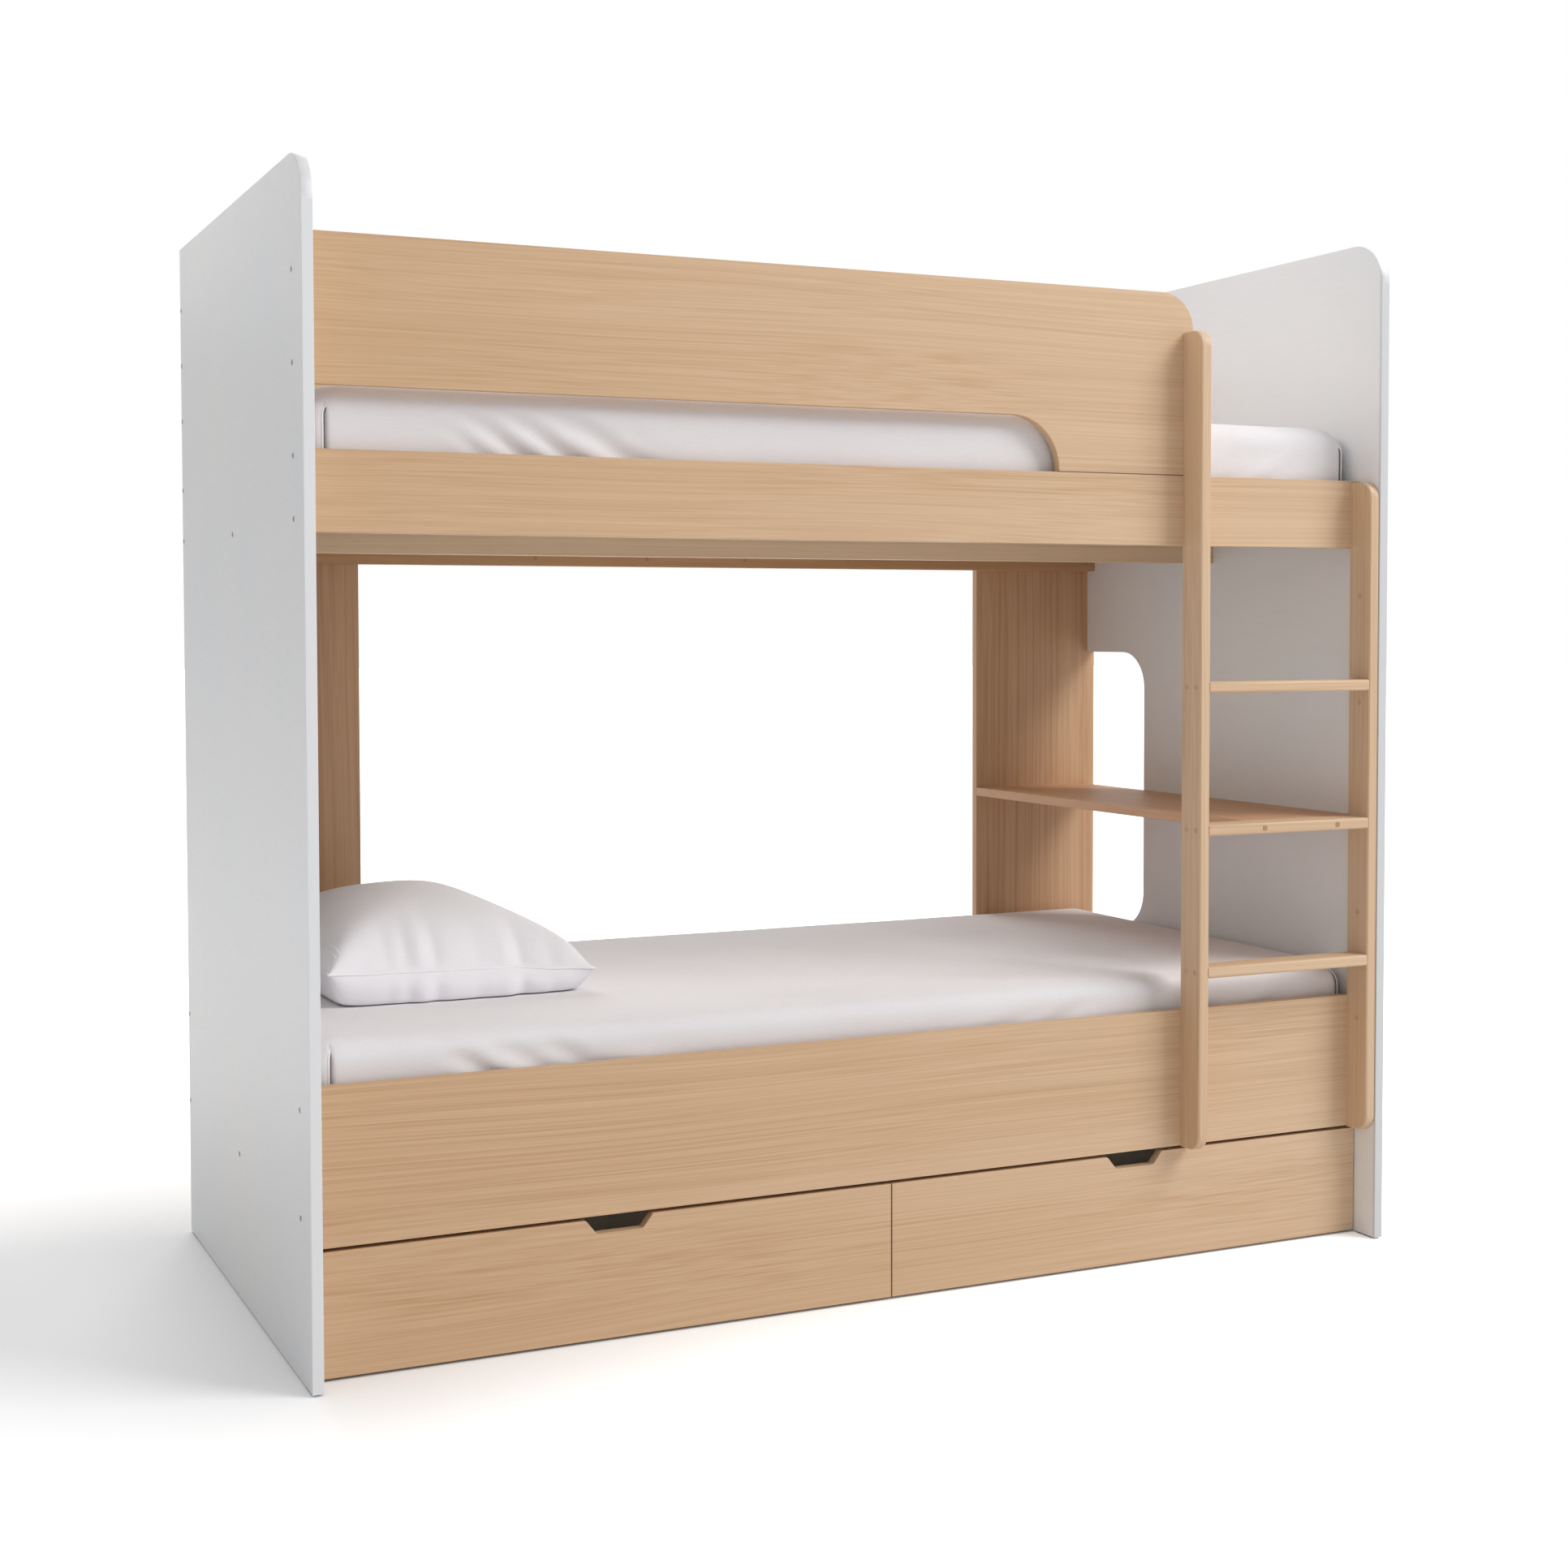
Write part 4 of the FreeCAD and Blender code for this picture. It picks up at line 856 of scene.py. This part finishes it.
# The seam cord and the hem stitching are in the whiter cord cotton, a painted highlight.
case_cord = add_piece("pillow_seam_cord", piping(seam_line, 2.0 * MM, closed=True), "bed", cord_cotton_painted_highlight)
smooth(case_cord)

# Two rows of hem stitching run beside the seam at the bed's head end, short of its corners.
column = {}
for (fx, fy, fz), spot in zip(flat, places):
    if fz > -MM:
        column[math.floor(fx * cells[0] + 0.25), math.floor(fy * cells[1] + 0.25)] = spot
bpy.context.view_layer.update()
skin = BVHTree.FromObject(pillow, bpy.context.evaluated_depsgraph_get())
stitching = bmesh.new()
for inset in (26 * MM, 36 * MM):
    first, part = divmod(inset / case_cell, 1)
    i = int(first) - cells[0] // 2
    row = []
    for j in range(3 - cells[1] // 2, cells[1] // 2 - 2):
        over = Vector(column[i, j] * (1 - part) + column[i + 1, j] * part)
        row.append(skin.ray_cast(over + Vector((0, 0, 0.2)), (0, 0, -1))[0])
    add_cord(stitching, row, 1.1 * MM)
hem = add_piece("pillow_hem_stitching", stitching, "bed", cord_cotton_painted_highlight)
smooth(hem)


# ---------------------------------------------------------------- floor and light
# A pale studio floor that keeps the bed's shadow, even light all round, a large soft lamp in
# front of the ladder end, a weaker one behind the bed, and a faint one across the upper bunk.
floor_mesh = bmesh.new()
bmesh.ops.create_circle(floor_mesh, cap_ends=True, segments=64, radius=60)
floor_data = bpy.data.meshes.new("studio_floor")
floor_mesh.to_mesh(floor_data)
floor_mesh.free()
floor = bpy.data.objects.new("studio_floor", floor_data)
scene.collection.objects.link(floor)


def looked_at(tree):
    """1 where a ray comes from the eye, straight or by gloss or glass, and 0 where it only lights."""
    path = add_node(tree, "LightPath")
    seen = add_node(tree, "Math", {0: path.outputs["Is Camera Ray"], 1: path.outputs["Is Glossy Ray"]},
                    operation="MAXIMUM")
    seen = add_node(tree, "Math", {0: seen.outputs[0], 1: path.outputs["Is Transmission Ray"]},
                    operation="MAXIMUM")
    return seen.outputs[0]


# The floor is seen fading to white away from the shadow beside the head end's panel: its glow, painted
# light, is weakest there, which paints that shadow a little darker, and ambient occlusion holds the glow
# back near the bed.
SHADOW_PLACE = (-1.2, 0.05, 0)
floor_paint, tree, shader = new_finish("matt_floor_paint", 0.9)
shader.inputs["Base Color"].default_value = colour("#E8E8E8")
place = add_node(tree, "TexCoord").outputs["Object"]
from_shadow = add_node(tree, "VectorMath", {0: place, 1: SHADOW_PLACE}, operation="SUBTRACT")
away = add_node(tree, "VectorMath", {0: from_shadow.outputs[0]}, operation="LENGTH")
fade = add_node(tree, "MapRange", {"Value": away.outputs["Value"], "From Min": 0.45, "From Max": 1.85,
                                   "To Min": 0.2, "To Max": 1.0})
open_floor = add_node(tree, "AmbientOcclusion", {"Distance": 0.3}, samples=8)
lift = add_node(tree, "Math", {0: fade.outputs[0], 1: looked_at(tree)}, operation="MULTIPLY")
lift = add_node(tree, "Math", {0: lift.outputs[0], 1: open_floor.outputs["AO"]}, operation="MULTIPLY")
glow = add_node(tree, "Emission", {"Color": (1, 1, 1, 1), "Strength": lift.outputs[0]})
both = add_node(tree, "AddShader", {0: shader.outputs[0], 1: glow.outputs[0]})
tree.links.new(both.outputs[0], tree.nodes["Material Output"].inputs["Surface"])
floor_data.materials.append(floor_paint)

# The air all round gives half of full light, and is seen as white.
world = bpy.data.worlds.new("studio")
world.use_nodes = True
scene.world = world
tree = world.node_tree
glow = add_node(tree, "MapRange", {"Value": looked_at(tree), "To Min": 0.49, "To Max": 1.0})
background = tree.nodes["Background"]
background.inputs["Color"].default_value = (1, 1, 1, 1)
tree.links.new(glow.outputs[0], background.inputs["Strength"])


def soft_lamp(name, azimuth, elevation, distance, size, irradiance, aim=(0, 0, 0.9), spread=180):
    """A square lamp, placed by its bearing from the front and its height angle, both in degrees.

    It gives what it is aimed at the share irradiance of full light, square on.
    """
    a, e = math.radians(azimuth), math.radians(elevation)
    way = Vector((math.sin(a) * math.cos(e), -math.cos(a) * math.cos(e), math.sin(e)))
    data = bpy.data.lights.new(name, "AREA")
    data.size = size
    data.energy = irradiance * math.pi ** 2 * distance ** 2
    data.spread = math.radians(spread)
    lamp = bpy.data.objects.new(name, data)
    turn = way.to_track_quat("Z", "Y").to_matrix().to_4x4()
    lamp.matrix_world = Matrix.Translation(Vector(aim) + way * distance) @ turn
    scene.collection.objects.link(lamp)


soft_lamp("ladder_end_lamp", azimuth=48, elevation=39, distance=9.0, size=4.05, irradiance=0.565)
soft_lamp("wall_side_lamp", azimuth=180, elevation=30, distance=7.0, size=4.0, irradiance=0.34)
soft_lamp("over_the_bed_lamp", azimuth=-88, elevation=24, distance=3.0, size=1.0, irradiance=0.0095,
          aim=(1.0, -0.1, 1.7), spread=34)
scene.view_settings.view_transform = "Standard"
